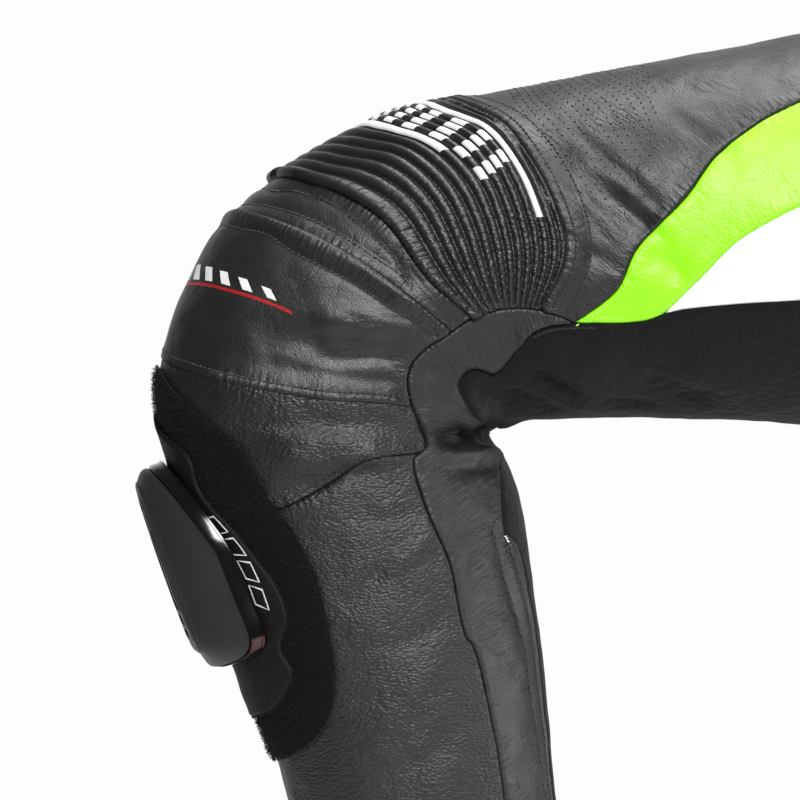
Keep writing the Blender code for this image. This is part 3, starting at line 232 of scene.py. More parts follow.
def flat(place):
    """Millimetres on the laid-flat surface, for (station, around)."""
    return np.asarray(place, float) * np.array([1.0, FLAT_MM_PER_DEGREE])


print("knee depth", round(float(np.linalg.norm(base_point(650, 0) - base_point(650, 180)))), "mm")

# %% [markdown]
# ## Folds
# Bent cloth is pushed together behind the knee and pulled tight over it. A fold is a line on the
# body, a height and a half width, and it raises or sinks the cloth like a soft bell that fades
# towards its ends. Placing them one by one keeps them as uneven as real ones. The main folds
# are in the CAD walls too, and the short ones under "creases" belong to this script alone.

# %% Folds and creases
Fold = namedtuple("Fold", "line height width")


def fold(height, width, *line):
    """A fold's height and half width in mm, then its line as stations and angles in turn."""
    return Fold(list(zip(line[::2], line[1::2])), height, width)


FOLDS = [
    fold(-6.5, 6, 664, 180, 672, 158, 679, 146, 681, 137),  # behind the knee
    fold(-2.5, 3.2, 684, 143, 685, 137.5),
    fold(2.6, 6, 636, 147, 644, 146, 651, 144),
    fold(-3, 5.5, 670, 152, 671, 143, 672, 136.5),
    fold(3.2, 3, 650, 131, 671, 131.8, 689, 131),
    fold(4.2, 4.8, 694, 133, 700, 148, 706, 172),
    fold(5, 9, 600, 150, 641, 150, 640, 138),
    fold(4, 9, 566, 172, 572, 186),
    fold(4.2, 8, 684, 62, 684, 92, 687, 116),  # roll under the knee band
    fold(-3.2, 4.5, 699, 66, 696, 92, 697, 108),
    fold(4.5, 9, 546, 123, 530, 137, 511, 160),  # drag lines of the stretch cloth
    fold(-3.6, 4.6, 594, 138, 574, 148, 552, 160),
    fold(3, 5.5, 562, 137, 541, 145, 515, 158),
    fold(-3.2, 4.6, 551, 133, 530, 143, 505, 155, 480, 161),
    fold(-2.6, 5, 510, 127, 490, 138, 465, 148),
    fold(-3.5, 9, 562, 140, 545, 152, 530, 168),
    fold(3.5, 11, 520, 122, 504, 130, 484, 137, 455, 142),
    fold(-3.5, 12, 500, 141, 480, 150, 455, 155),
    fold(3, 10, 632, 74, 611, 107),  # knee band, towards its corner
    fold(-3, 9, 640, 66, 630, 93, 614, 113),
    fold(2, 8, 596, 88, 584, 107),
    fold(2.5, 12, 522, 55, 495, 68, 482, 80),  # thigh leather
    fold(-2.5, 10, 515, 66, 503, 74, 489, 84, 482, 89),
    fold(-2, 7, 488, 95, 470, 105),
    fold(-2, 6, 607, 121, 605, 138),
    fold(1.5, 6, 640, 127, 636, 140),
    fold(-4, 9, 652, -180, 658, -150, 655, -132),  # outer side and seat
    fold(2, 7, 700, -134, 708, -150, 712, -172),
    fold(3, 13, 548, -118, 520, -128, 492, -140),
    fold(-3, 14, 500, -96, 470, -112, 440, -120),
    fold(2.5, 11, 628, -70, 612, -104),
    fold(4, 17, 300, -190, 262, -165, 240, -135),
    fold(-4, 18, 250, -200, 205, -175, 180, -140),
    fold(-5, 15, 215, 30, 190, -10, 185, -45),
    fold(-4, 14, 262, 66, 232, 20, 225, -20),
    fold(4, 15, 240, 50, 212, 5, 205, -35),
    fold(-3.5, 16, 330, 122, 380, 150, 420, 165),
    fold(-2.5, 14, 880, 60, 905, 10, 900, -50),
    fold(-2.5, 13, 930, -150, 915, -190, 925, -225),
    fold(2.5, 13, 975, 110, 990, 40, 980, -30),
]
CREASES = [
    fold(-0.9, 3, 548, 121, 541, 127, 536, 133),  # puckers of the side panel
    fold(-0.7, 2.6, 556, 116, 553, 124, 552, 129),
    fold(-0.8, 2.4, 618, 122, 616, 132),
    fold(-0.7, 2.2, 612, 120, 611, 130),
    fold(-0.6, 2.2, 625, 121, 622, 130),
    fold(-1.5, 3, 505, 60, 492, 70, 480, 82),  # wrinkles that fan from the ribs
    fold(-1.1, 2.6, 512, 52, 502, 62, 495, 70),
    fold(-1.4, 2.8, 500, 76, 488, 86, 478, 93),
    fold(1.1, 2.8, 497, 72, 485, 82, 474, 90),
    fold(0.9, 2.8, 520, 70, 508, 80, 498, 90),
    fold(-0.9, 2.4, 524, 84, 516, 92, 508, 99),
    fold(-0.8, 2.2, 512, 94, 502, 100, 494, 106),
    fold(-0.9, 4, 468, 50, 455, 62, 440, 70),
    fold(-0.5, 2.6, 515, 80, 505, 88),
    fold(-0.9, 2.8, 600, 96, 594, 103, 590, 109),  # cup, where the channels end
    fold(-0.7, 2.6, 596, 84, 590, 96, 586, 106),
    fold(-1.5, 3, 640, 84, 634, 97, 622, 112),  # band
    fold(1.1, 2.6, 637, 86, 630, 98, 619, 110),
    fold(-1, 2.4, 628, 88, 620, 98, 612, 108),
    fold(-0.9, 2.2, 620, 84, 614, 95, 606, 105),
    fold(0.8, 2.2, 616, 88, 610, 98, 603, 106),
    fold(-0.8, 3, 647, 60, 646, 78, 644, 92),
    fold(-0.8, 3, 644, 92, 640, 104, 634, 116),
    fold(0.8, 3, 624, 92, 614, 104),
    fold(1.4, 4, 672, 60, 676, 84, 678, 108),  # upper shin
    fold(-0.9, 3, 667, 50, 669, 70, 668, 92),
    fold(-0.9, 3, 681, 80, 683, 100, 682, 118),
    fold(-0.8, 4, 664, 84, 668, 104, 666, 122),
    fold(-1.8, 2.4, 707, 134, 709, 146, 713, 162),  # calf below the ledge
    fold(-0.9, 3.4, 710, 140, 714, 130, 724, 122),
    fold(-0.8, 5, 727, 150, 760, 148, 800, 152),
    fold(-1.2, 5, 740, 100, 752, 84, 756, 70),
    fold(1, 4, 726, 122, 738, 112, 744, 98),
    fold(-1, 5, 770, 118, 780, 100, 778, 82),
    fold(-0.9, 6, 820, 116, 834, 98, 838, 80),
    fold(-0.9, 3.4, 718, 90, 722, 104, 720, 118),
    fold(0.8, 7, 790, 110, 806, 92, 812, 74),
    fold(-1.2, 5, 530, 146, 512, 158, 500, 172),
    fold(-1, 4, 506, 124, 492, 131, 470, 136),
    fold(-0.9, 3, 478, 98, 472, 106),  # coloured stripe
    fold(-0.8, 2.8, 604, -118, 600, -128),
    fold(-0.8, 3, 556, -118, 548, -126),
]


def through(points, pieces):
    """A smooth curve through (station, around) pairs, with so many pieces between each two."""
    p = np.array(points, float)
    padded = np.vstack([2 * p[0] - p[1], p, 2 * p[-1] - p[-2]])
    t = np.linspace(0, 1, pieces, endpoint=False)[:, None]
    spans = []
    for a, b, c, d in zip(padded[:-3], padded[1:-2], padded[2:-1], padded[3:]):
        spans.append(b + 0.5 * t * (c - a + t * (2 * a - 5 * b + 4 * c - d + t * (3 * (b - c) + d - a))))
    return np.vstack(spans + [p[-1:]])


def fold_height(points, folds):
    """How far the folds move each point of the smooth body along its normal."""
    total = np.zeros(len(points))
    for fold in folds:
        line = base_point(*through(fold.line, 6).T)
        around_it = (points > line.min(0) - 3 * fold.width) & (points < line.max(0) + 3 * fold.width)
        close = np.where(around_it.all(1))[0]
        p = points[close]
        nearest, place = np.full(len(p), np.inf), np.zeros(len(p))
        for k, (a, b) in enumerate(zip(line[:-1], line[1:])):
            t = np.clip((p - a) @ (b - a) / max((b - a) @ (b - a), 1e-9), 0, 1)
            distance = np.linalg.norm(p - a - t[:, None] * (b - a), axis=1)
            closer = distance < nearest
            nearest = np.where(closer, distance, nearest)
            place = np.where(closer, (k + t) / (len(line) - 1), place)
        ends = np.clip(np.minimum(place, 1 - place) / 0.25, 0, 1)
        fade = 0.35 + 0.65 * ends * ends * (3 - 2 * ends)
        total[close] += fold.height * fade * np.exp(-(nearest / fold.width)**2)
    return total


def unevenness(points):
    """The slight waviness of leather that has been worn: a slow and a quicker noise."""
    slow = np.array([noise.noise(Vector(p / 34)) for p in points])
    quick = np.array([noise.noise(Vector(p / 11)) for p in points])
    return 1.0 * slow + 0.42 * quick


print(len(FOLDS), "folds and", len(CREASES), "creases")

# %% [markdown]
# ## Seams
# A seam is a curve on the body where two cut pieces meet. All seams of the right half are drawn
# first, so that the pieces between them share their edges to the last point, as cut leather does.

# %% Seam tables
Seam = namedtuple("Seam", "name starts ends points")
INNER_SEAM = [(380, 112), (466, 115), (494, 119), (524, 118), (542, 120), (552, 127), (567, 135),
              (585, 130), (604, 135), (615, 142), (633, 150), (657, 152), (673, 148), (695, 154),
              (706, 164), (721, 156), (743, 152), (773, 158), (806, 162), (900, 165), (HEM, 167)]
SIDE_FRONT = [(524, 118), (538, 113), (559, 111), (586, 114), (604, 115), (629, 118), (645, 124),
              (660, 128), (688, 128), (698, 121), (724, 119), (750, 123), (782, 123), (816, 128),
              (HEM, 131)]
OUTER_SEAM = [(BAND_WAIST, -93), (150, -97), (300, -104), (450, -110), (524, -116), (538, -113),
              (559, -111), (586, -114), (629, -118), (660, -126), (698, -122), (782, -124), (HEM, -131)]
BACK_SEAM = [(238, -216), (300, -198), (400, -178), (500, -166), (560, -157), (620, -152),
             (700, -156), (800, -163), (HEM, -167)]
WAIST_SEAM = [(BAND_WAIST, 4), (BAND_WAIST, -93), (BAND_WAIST, -187)]
ACROSS = {                          # half of each seam over the knee, from the front to the side
    "accordion_top": [(563, 0), (556, 28), (541, 48), (527, 71), (523, 93), (538, 113)],
    "accordion_low": [(602, 0), (596, 30), (592, 43), (586, 66), (582, 94), (570, 112)],
    "band_ridge": [(617, 0), (612, 31), (608, 47), (600, 73), (591, 102), (586, 114)],
    "band_low": [(651, 0), (653, 18), (655, 55), (654, 90), (650, 108), (645, 124)],
    "shin_seam": [(705, 0), (705, 40), (704, 64), (697, 89), (690, 105), (692, 125)],
}
OTHER_SEAMS = [
    Seam("green_top", "side_front", "inner_seam",
         [(524, 118), (503, 108), (491, 94), (468, 80), (445, 64), (400, 52), (350, 64), (316, 112)]),
    Seam("green_low", "inner_seam", "inner_seam",
         [(482, 117), (465, 106), (440, 92), (395, 82), (362, 90), (342, 112)]),
    Seam("outer_knee", "outer_seam", "back_seam", [(545, -113), (552, -135), (560, -157)]),
    Seam("zip_edge", "inner_seam", None,
         [(743, -208), (752, -199), (773, -195.5), (806, -191.5), (900, -188.5), (HEM, -185.5)]),
]
LOOP_OUTLINE = [(656, 0), (656, 17), (667, 40), (679, 54), (695, 59), (715, 63), (745, 67), (775, 66),
                (800, 60), (816, 45), (822, 22), (824, 0)]
PLATE_OUTLINE = [(667, 0), (671, 12), (680, 31), (690, 32), (703, 40), (721, 45), (740, 51), (756, 52),
                 (765, 47), (772, 45.5), (780, 48), (788, 44), (797, 32), (800, 14), (801, 0)]
TAB_OUTLINE = [(6, 0), (6, -9), (19, -16), (32, -9), (32, 0)]
FLY_OUTLINE = [(42, 0), (42, -8), (100, 3), (140, 16), (165, 30), (172, 35)]


def find_crotch():
    """The last station whose section still reaches the middle plane, and where round it."""
    around = np.arange(60.0, 150.0, 0.5)
    low, high = 200.0, 359.0
    for _ in range(20):
        mid = (low + high) / 2
        reaches = base_point(np.full(len(around), mid), around)[:, 0].max() > -GAP / 2
        low, high = (mid, high) if reaches else (low, mid)
    return low, around[np.argmax(base_point(np.full(len(around), low), around)[:, 0])]


CROTCH_STATION, CROTCH_AROUND = find_crotch()
print("the legs part at station", round(CROTCH_STATION))

# %% Drawing the seams


def spacing_at(station, around):
    """Mesh spacing: fine round the knee, wider far from it, fine again in the hollow of the seat."""
    away = np.maximum(np.maximum(440 - station, station - 840), 0)
    hollow = np.clip((around + 186 + 0.15 * (station - 38)) / 14, 0.4, 1)
    return (FINE + (COARSE - FINE) * np.minimum(away / 90, 1)) * hollow


def run_along(points):
    """The distance run at each point of a polyline."""
    return np.concatenate([[0], np.cumsum(np.linalg.norm(np.diff(points, axis=0), axis=1))])


def resample(curve, factor=1.0):
    """A dense curve with its points at the mesh spacing, measured on the body, ends kept."""
    points = base_point(curve[:, 0], curve[:, 1])
    length = np.linalg.norm(np.diff(points, axis=0), axis=1)
    weight = np.concatenate([[0], np.cumsum(length / (factor * spacing_at(curve[1:, 0], curve[1:, 1])))])
    at = np.linspace(0, weight[-1], max(int(round(weight[-1])), 1) + 1)
    return np.stack([np.interp(at, weight, curve[:, i]) for i in (0, 1)], 1)


class Drawing:
    """The seams of the right half: polylines whose points the pieces share."""

    def __init__(self):
        self.lines = {}

    def add(self, name, curve, starts=None, ends=None):
        curve = np.array(curve, float)
        if starts:
            curve[0] = self.meet(starts, curve[0])
        if ends:
            curve[-1] = self.meet(ends, curve[-1])
        self.lines[name] = curve

    def meet(self, name, place):
        """Put a point on a line, at its nearest place to this one, and return it."""
        line = self.lines[name]
        p, q = flat(line), flat(place)
        run = p[1:] - p[:-1]
        t = np.clip(((q - p[:-1]) * run).sum(1) / (run**2).sum(1), 0, 1)
        k = int(np.argmin(np.linalg.norm(q - p[:-1] - t[:, None] * run, axis=1)))
        if t[k] < 0.22 or t[k] > 0.78:
            return line[k if t[k] < 0.22 else k + 1]
        point = line[k] + t[k] * (line[k + 1] - line[k])
        self.lines[name] = np.insert(line, k + 1, point, axis=0)
        return point


def rise(side):
    """Where the surface meets the middle plane: side +1 is the front rise, -1 the back rise."""
    stations = np.append(np.arange(0, CROTCH_STATION - 4, 3.0), CROTCH_STATION)
    low = np.full(len(stations), -60.0 if side > 0 else -120.0)
    high = np.full(len(stations), CROTCH_AROUND - (0 if side > 0 else 360))
    for _ in range(30):
        mid = (low + high) / 2
        outside = base_point(stations, mid)[:, 0] > -GAP / 2
        low, high = np.where(outside, low, mid), np.where(outside, mid, high)
    line = np.stack([stations, low], 1)
    line[-1, 1] = CROTCH_AROUND - (0 if side > 0 else 360)
    return line


def across(half_line, pieces=8):
    """A line from the front of the knee to its inner side, carried over to the outer side."""
    inner = through(half_line, pieces)
    return np.vstack([inner[::-1], inner[1:] * np.array([1.0, -1.0])])


def draw_seams():
    """All seams, with what they meet."""
    d = Drawing()
    d.add("front_rise", resample(rise(1)))
    d.add("back_rise", resample(rise(-1)))
    d.add("inner_seam", resample(through([(CROTCH_STATION, CROTCH_AROUND)] + INNER_SEAM, 8)))
    d.add("side_front", resample(through(SIDE_FRONT, 8)), starts="inner_seam")
    d.add("waist_seam", resample(through(WAIST_SEAM, 8)), starts="front_rise", ends="back_rise")
    d.add("outer_seam", resample(through(OUTER_SEAM, 8)), starts="waist_seam")
    d.add("back_seam", resample(through(BACK_SEAM, 8)), starts="back_rise")
    for name, half in ACROSS.items():
        d.add(name, resample(across(half)), starts="side_front", ends="outer_seam")
    for seam in OTHER_SEAMS:
        shift = np.array([0.0, 360.0]) if seam.name == "zip_edge" else 0.0
        d.add(seam.name, resample(through(seam.points, 8)) + shift, starts=seam.starts, ends=seam.ends)
        d.lines[seam.name] = d.lines[seam.name] - shift
    d.lines["inner_seam_back"] = d.lines["inner_seam"] - np.array([0.0, 360.0])
    ends = d.lines["front_rise"][0, 1], d.lines["back_rise"][0, 1]
    d.add("waist", [(0, a) for a in np.linspace(*ends, 70)])
    hem_ends = [d.lines[n][-1, 1] for n in
                ("inner_seam", "side_front", "outer_seam", "back_seam", "zip_edge", "inner_seam_back")]
    hem = []
    for a, b in zip(hem_ends[:-1], hem_ends[1:]):
        hem += [(HEM, v) for v in np.linspace(a, b, max(int(round((a - b) / 7)), 1), endpoint=False)]
    d.lines["hem"] = np.array(hem + [(HEM, hem_ends[-1])])
    return d


def inside_polygon(points, polygon):
    """True for each point inside a polygon."""
    inside = np.zeros(len(points), bool)
    x, y = points[:, 0], points[:, 1]
    for (x0, y0), (x1, y1) in zip(polygon, np.roll(polygon, -1, axis=0)):
        if y0 != y1:
            inside ^= ((y0 > y) != (y1 > y)) & (x < (x1 - x0) * (y - y0) / (y1 - y0) + x0)
    return inside

# %% [markdown]
# ## Rows of stitches
# Stitches pull the leather down, so every row also presses a shallow groove into the piece. The
# rows are drawn before the mesh, because the net needs points along them to hold that groove.

# %% Stitch rows
Row = namedtuple("Row", "panel line pitch dip width thread", defaults=(3.0, 0.25, 1.0, "black"))
BAND_TOP = [(621, 7), (618, 28), (614, 42), (613, 54), (610, 67), (606, 80), (602, 94), (596, 106),
            (593, 112)]
CHANNEL_UPPER = [(605, 0), (604, 21), (600, 32), (597, 41), (594, 51), (592, 64), (590, 76), (590, 84),
                 (590.5, 91)]
CHANNEL_LOWER = [(612, 0), (611, 15), (607, 32), (603, 45), (600, 54), (597, 65), (594, 76), (591, 85),
                 (590.5, 91)]
ZIP_ROW = [(733, 153), (738, 146), (743, 146), (752, 147), (763, 148), (777, 150), (789, 151), (803, 153),
           (900, 158), (1018, 160)]


def side_step(line):
    """Change of station and angle for one millimetre sideways, to the left of a line seen from outside."""
    tangent = np.gradient(base_point(line[:, 0], line[:, 1]), axis=0)
    normal, along, round_it = base_frame(line[:, 0], line[:, 1])
    side = np.cross(normal, tangent)
    side /= np.maximum(np.linalg.norm(side, axis=1), 1e-9)[:, None]
    aa, bb, ab = (along**2).sum(1), (round_it**2).sum(1), (along * round_it).sum(1)
    sa, sb = (side * along).sum(1), (side * round_it).sum(1)
    det = np.maximum(aa * bb - ab * ab, 1e-6)
    step = np.stack([(sa * bb - sb * ab) / det, (sb * aa - sa * ab) / det], 1)
    return np.clip(step, -3, 3)


def beside(line, distance):
    """Places so many millimetres beside a line, on the body, with its doubles left out."""
    points = base_point(line[:, 0], line[:, 1])
    line = line[np.append(True, np.linalg.norm(np.diff(points, axis=0), axis=1) > 0.2)]
    return line + distance * side_step(line)


def segment_distance(points, line):
    """Distance from each point to a polyline, with the nearest segment's number and nearest place."""
    best = np.full(len(points), np.inf)
    which = np.zeros(len(points), int)
    nearest = np.zeros((len(points), 3))
    for k, (a, b) in enumerate(zip(line[:-1], line[1:])):
        t = np.clip((points - a) @ (b - a) / max((b - a) @ (b - a), 1e-9), 0, 1)
        place = a + t[:, None] * (b - a)
        distance = np.linalg.norm(points - place, axis=1)
        closer = distance < best
        best = np.where(closer, distance, best)
        which = np.where(closer, k, which)
        nearest = np.where(closer[:, None], place, nearest)
    return best, which, nearest


def between_stations(line, first, last):
    return line[(line[:, 0] >= first) & (line[:, 0] <= last)]


DRAWING = draw_seams()
SEAM_LINES = dict(DRAWING.lines)
OUTER_LINE = between_stations(SEAM_LINES["outer_seam"], 44, 512)
INNER_LINE = SEAM_LINES["inner_seam"]
STITCH_ROWS = [
    Row("knee_band", across([(622, 0)] + BAND_TOP), 3.0, 0.9, 2.2),
    Row("knee_cup", across(CHANNEL_UPPER), 3.0, 1.1, 3.0),
    Row("knee_cup", across(CHANNEL_LOWER), 3.0, 1.1, 3.0),
    Row("knee_band", beside(SEAM_LINES["band_low"], -3.2), 2.7, 0.35, 1.2),
    Row("shin_upper", beside(SEAM_LINES["shin_seam"], -2.4), 2.8, 0.3, 1.2),
    Row("front_thigh", beside(SEAM_LINES["accordion_top"], -3.6), 2.6, 0.3),
    Row("front_thigh", beside(SEAM_LINES["accordion_top"], -10.5), 2.6, 0.3),
    Row("side_inner", through(ZIP_ROW, 8), 2.8, 0.3, 1.2),
    Row("side_inner", beside(between_stations(INNER_LINE, 744, 1020), -2.2), 2.8),
    Row("stretch", beside(between_stations(INNER_LINE, 512, 546), 2.4), 2.4, 0.2),
    Row("green_insert", beside(SEAM_LINES["green_top"], -1.7), 2.1, 0.25, 0.9, "green"),
    Row("green_insert", beside(SEAM_LINES["green_low"], 1.7), 2.1, 0.25, 0.9, "green"),
    Row("front_thigh", beside(OUTER_LINE, 2.4)),
    Row("seat_back", beside(OUTER_LINE, -2.4)),
    Row("seat_back", beside(SEAM_LINES["back_seam"], 2.4)),
    Row("waistband", beside(SEAM_LINES["waist_seam"], -2.4)),
    Row("waistband", SEAM_LINES["waist"] + np.array([4.0, 0.0]), 3.0, 0.2),
    Row("shin_lower", SEAM_LINES["hem"] + np.array([-12.0, 0.0]), 3.0, 0.3, 1.2),
]
LADDER = between_stations(SEAM_LINES["side_front"], 526, 632)      # short stitches across this seam
print(len(STITCH_ROWS), "stitch rows")

# %% [markdown]
# ## Prints
# The knee band, the ribbed panel and the slider's base carry plain printed marks: bars and lines
# of white and red. A mark is drawn in millimetres along a guide line and then laid on the leather
# as an outline that the mesh follows, so its edge is as sharp as a transfer print's. On the ribs
# the ink only reaches the crests, so there a mark is a rib number and a run of mesh columns.

# %% Marks along guide lines
Mark = namedtuple("Mark", "panel colour outline hole")
BAND_GUIDE = [(638, -6), (636, 14), (633.5, 40), (631, 62), (630, 80)]
PLATE_GUIDE = [(697, 32), (707, 36), (720, 39.5), (737, 42), (756, 42.5)]


def on_guide(guide, corners, step=1.2):
    """Places of a closed shape whose corners are (along, to the left of) a guide line, in mm."""
    line = through(guide, 24)
    sideways = side_step(line)
    points = base_point(line[:, 0], line[:, 1])
    run = run_along(points)
    places = []
    for (x0, y0), (x1, y1) in zip(corners, corners[1:] + corners[:1]):
        for t in np.linspace(0, 1, max(int(math.hypot(x1 - x0, y1 - y0) / step), 1), endpoint=False):
            x, y = x0 + t * (x1 - x0), y0 + t * (y1 - y0)
            places.append([np.interp(x, run, line[:, i] + y * sideways[:, i]) for i in (0, 1)])
    return np.array(places)


def slanted_bar(x, low, wide, high, slant):
    """Corners of a bar that leans towards the inner side."""
    return [(x, low), (x + wide, low), (x + wide - slant, high), (x - slant, high)]


def inset_box(corners, by):
    """The same four corners moved towards the middle by so many millimetres."""
    middle = np.mean(corners, axis=0)
    return [tuple(c + by * np.sign(middle - c)) for c in np.array(corners)]


RibMark = namedtuple("RibMark", "rib first last")     # rib number from the thigh, mesh columns
RIB_MARKS = [RibMark(2, 62, 119), RibMark(7, 62, 100)]
RIB_MARKS += [RibMark(rib, 64 + 6 * block + rib, 67 + 6 * block + rib)
              for block in range(7) for rib in (3, 4, 5, 6)]


def make_marks():
    marks = []
    for i in range(7):              # knee band: leaning bars that shrink towards the inner side
        bar = slanted_bar(10 + 13.5 * i, 1.6, 8.0 - 0.5 * i, 11.5 - 0.9 * i, 5.0)
        marks.append(Mark("knee_band", "white print", on_guide(BAND_GUIDE, bar), None))
    line = [(4, -1.2), (106, -1.2), (104, 0.2), (4, 0.2)]
    marks.append(Mark("knee_band", "red print", on_guide(BAND_GUIDE, line), None))
    for i in range(4):              # slider base: a row of outlined boxes
        box = slanted_bar(2 + 13.5 * i, -2.8, 10.5, 4.2, -4.0)
        marks.append(Mark("hook_plate", "white print", on_guide(PLATE_GUIDE, box, 2.0),
                          on_guide(PLATE_GUIDE, inset_box(box, 0.7), 2.0)))
    return marks


MARKS = make_marks()
print(len(MARKS), "printed marks")

# %% [markdown]
# ## Mesh of the right half
# One fine triangle net covers the right half of the body. Its points follow the seams, run in rows
# beside them where an edge will roll over, and lie thick on the ribs. Delaunay triangulation joins
# them, and flooding from a seed inside each piece finds its triangles without crossing a seam.

# %% Points of the net
PANEL_SEEDS = {
    "waistband": (20, -60), "front_thigh": (400, 10), "green_insert": (440, 80),
    "white_insert": (420, 98), "knee_accordion": (580, 0), "knee_cup": (610, 0), "knee_band": (635, 0),
    "shin_upper": (680, 0), "shin_lower": (900, 0), "side_inner": (800, 140), "side_outer": (800, -145),
    "seat_back": (150, -140), "stretch": (450, -210), "zip_tape": (900, -192),
}
EDGE_ROWS = (0.6, 1.3, 2.2, 3.4)    # rows of points beside a seam, in millimetres
NO_ROWS = ("front_rise", "back_rise", "waist", "hem", "inner_seam_back")
RIB_SPAN, RIB_COLUMNS = 111.0, 139


def rib_rows():
    """Rows of points along the crests, flanks and valleys of the ribs."""
    top, low = across(ACROSS["accordion_top"]), across(ACROSS["accordion_low"])
    around = np.linspace(RIB_SPAN, -RIB_SPAN, RIB_COLUMNS)
    top_at = np.interp(-around, -top[:, 1], top[:, 0])
    low_at = np.interp(-around, -low[:, 1], low[:, 0])
    share = np.arange(1, RIBS * RIB_ROWS)[:, None] / (RIBS * RIB_ROWS)
    station = top_at + share * (low_at - top_at)
    return np.stack([station, np.broadcast_to(around, station.shape)], 2)


def column_points():
    """Points down the leg in columns, staggered, at the mesh spacing on the body."""
    stations = np.arange(2.0, HEM, 1.0)
    chosen = []
    for k, around in enumerate(np.arange(CROTCH_AROUND + 66, CROTCH_AROUND - 372, -2.15)):
        points = base_point(stations, around)
        length = np.linalg.norm(np.diff(points, axis=0), axis=1)
        weight = np.concatenate([[0], np.cumsum(length / spacing_at(stations[1:], around))])
        at = np.arange(0.5 * (k % 2) + 0.25, weight[-1], 1.0)
        station = np.interp(at, weight, stations)
        if k % 2:       # the thigh and shin, with their wide spacing, need only every other column
            station = station[(station > 400) & (station < 870)]
        chosen.append(np.stack([station, np.full(len(station), around)], 1))
    return np.vstack(chosen)


def is_apart(candidates, taken, share):
    """Whether each candidate is further than a share of the spacing from every taken point."""
    tree = KDTree(len(taken))
    for i, p in enumerate(base_point(taken[:, 0], taken[:, 1])):
        tree.insert(p, i)
    tree.balance()
    room = share * spacing_at(candidates[:, 0], candidates[:, 1])
    points = base_point(candidates[:, 0], candidates[:, 1])
    return np.array([tree.find(p)[2] > r for p, r in zip(points, room)])


def keep_apart(candidates, taken, share):
    return candidates[is_apart(candidates, taken, share)]


# %% The net and its pieces


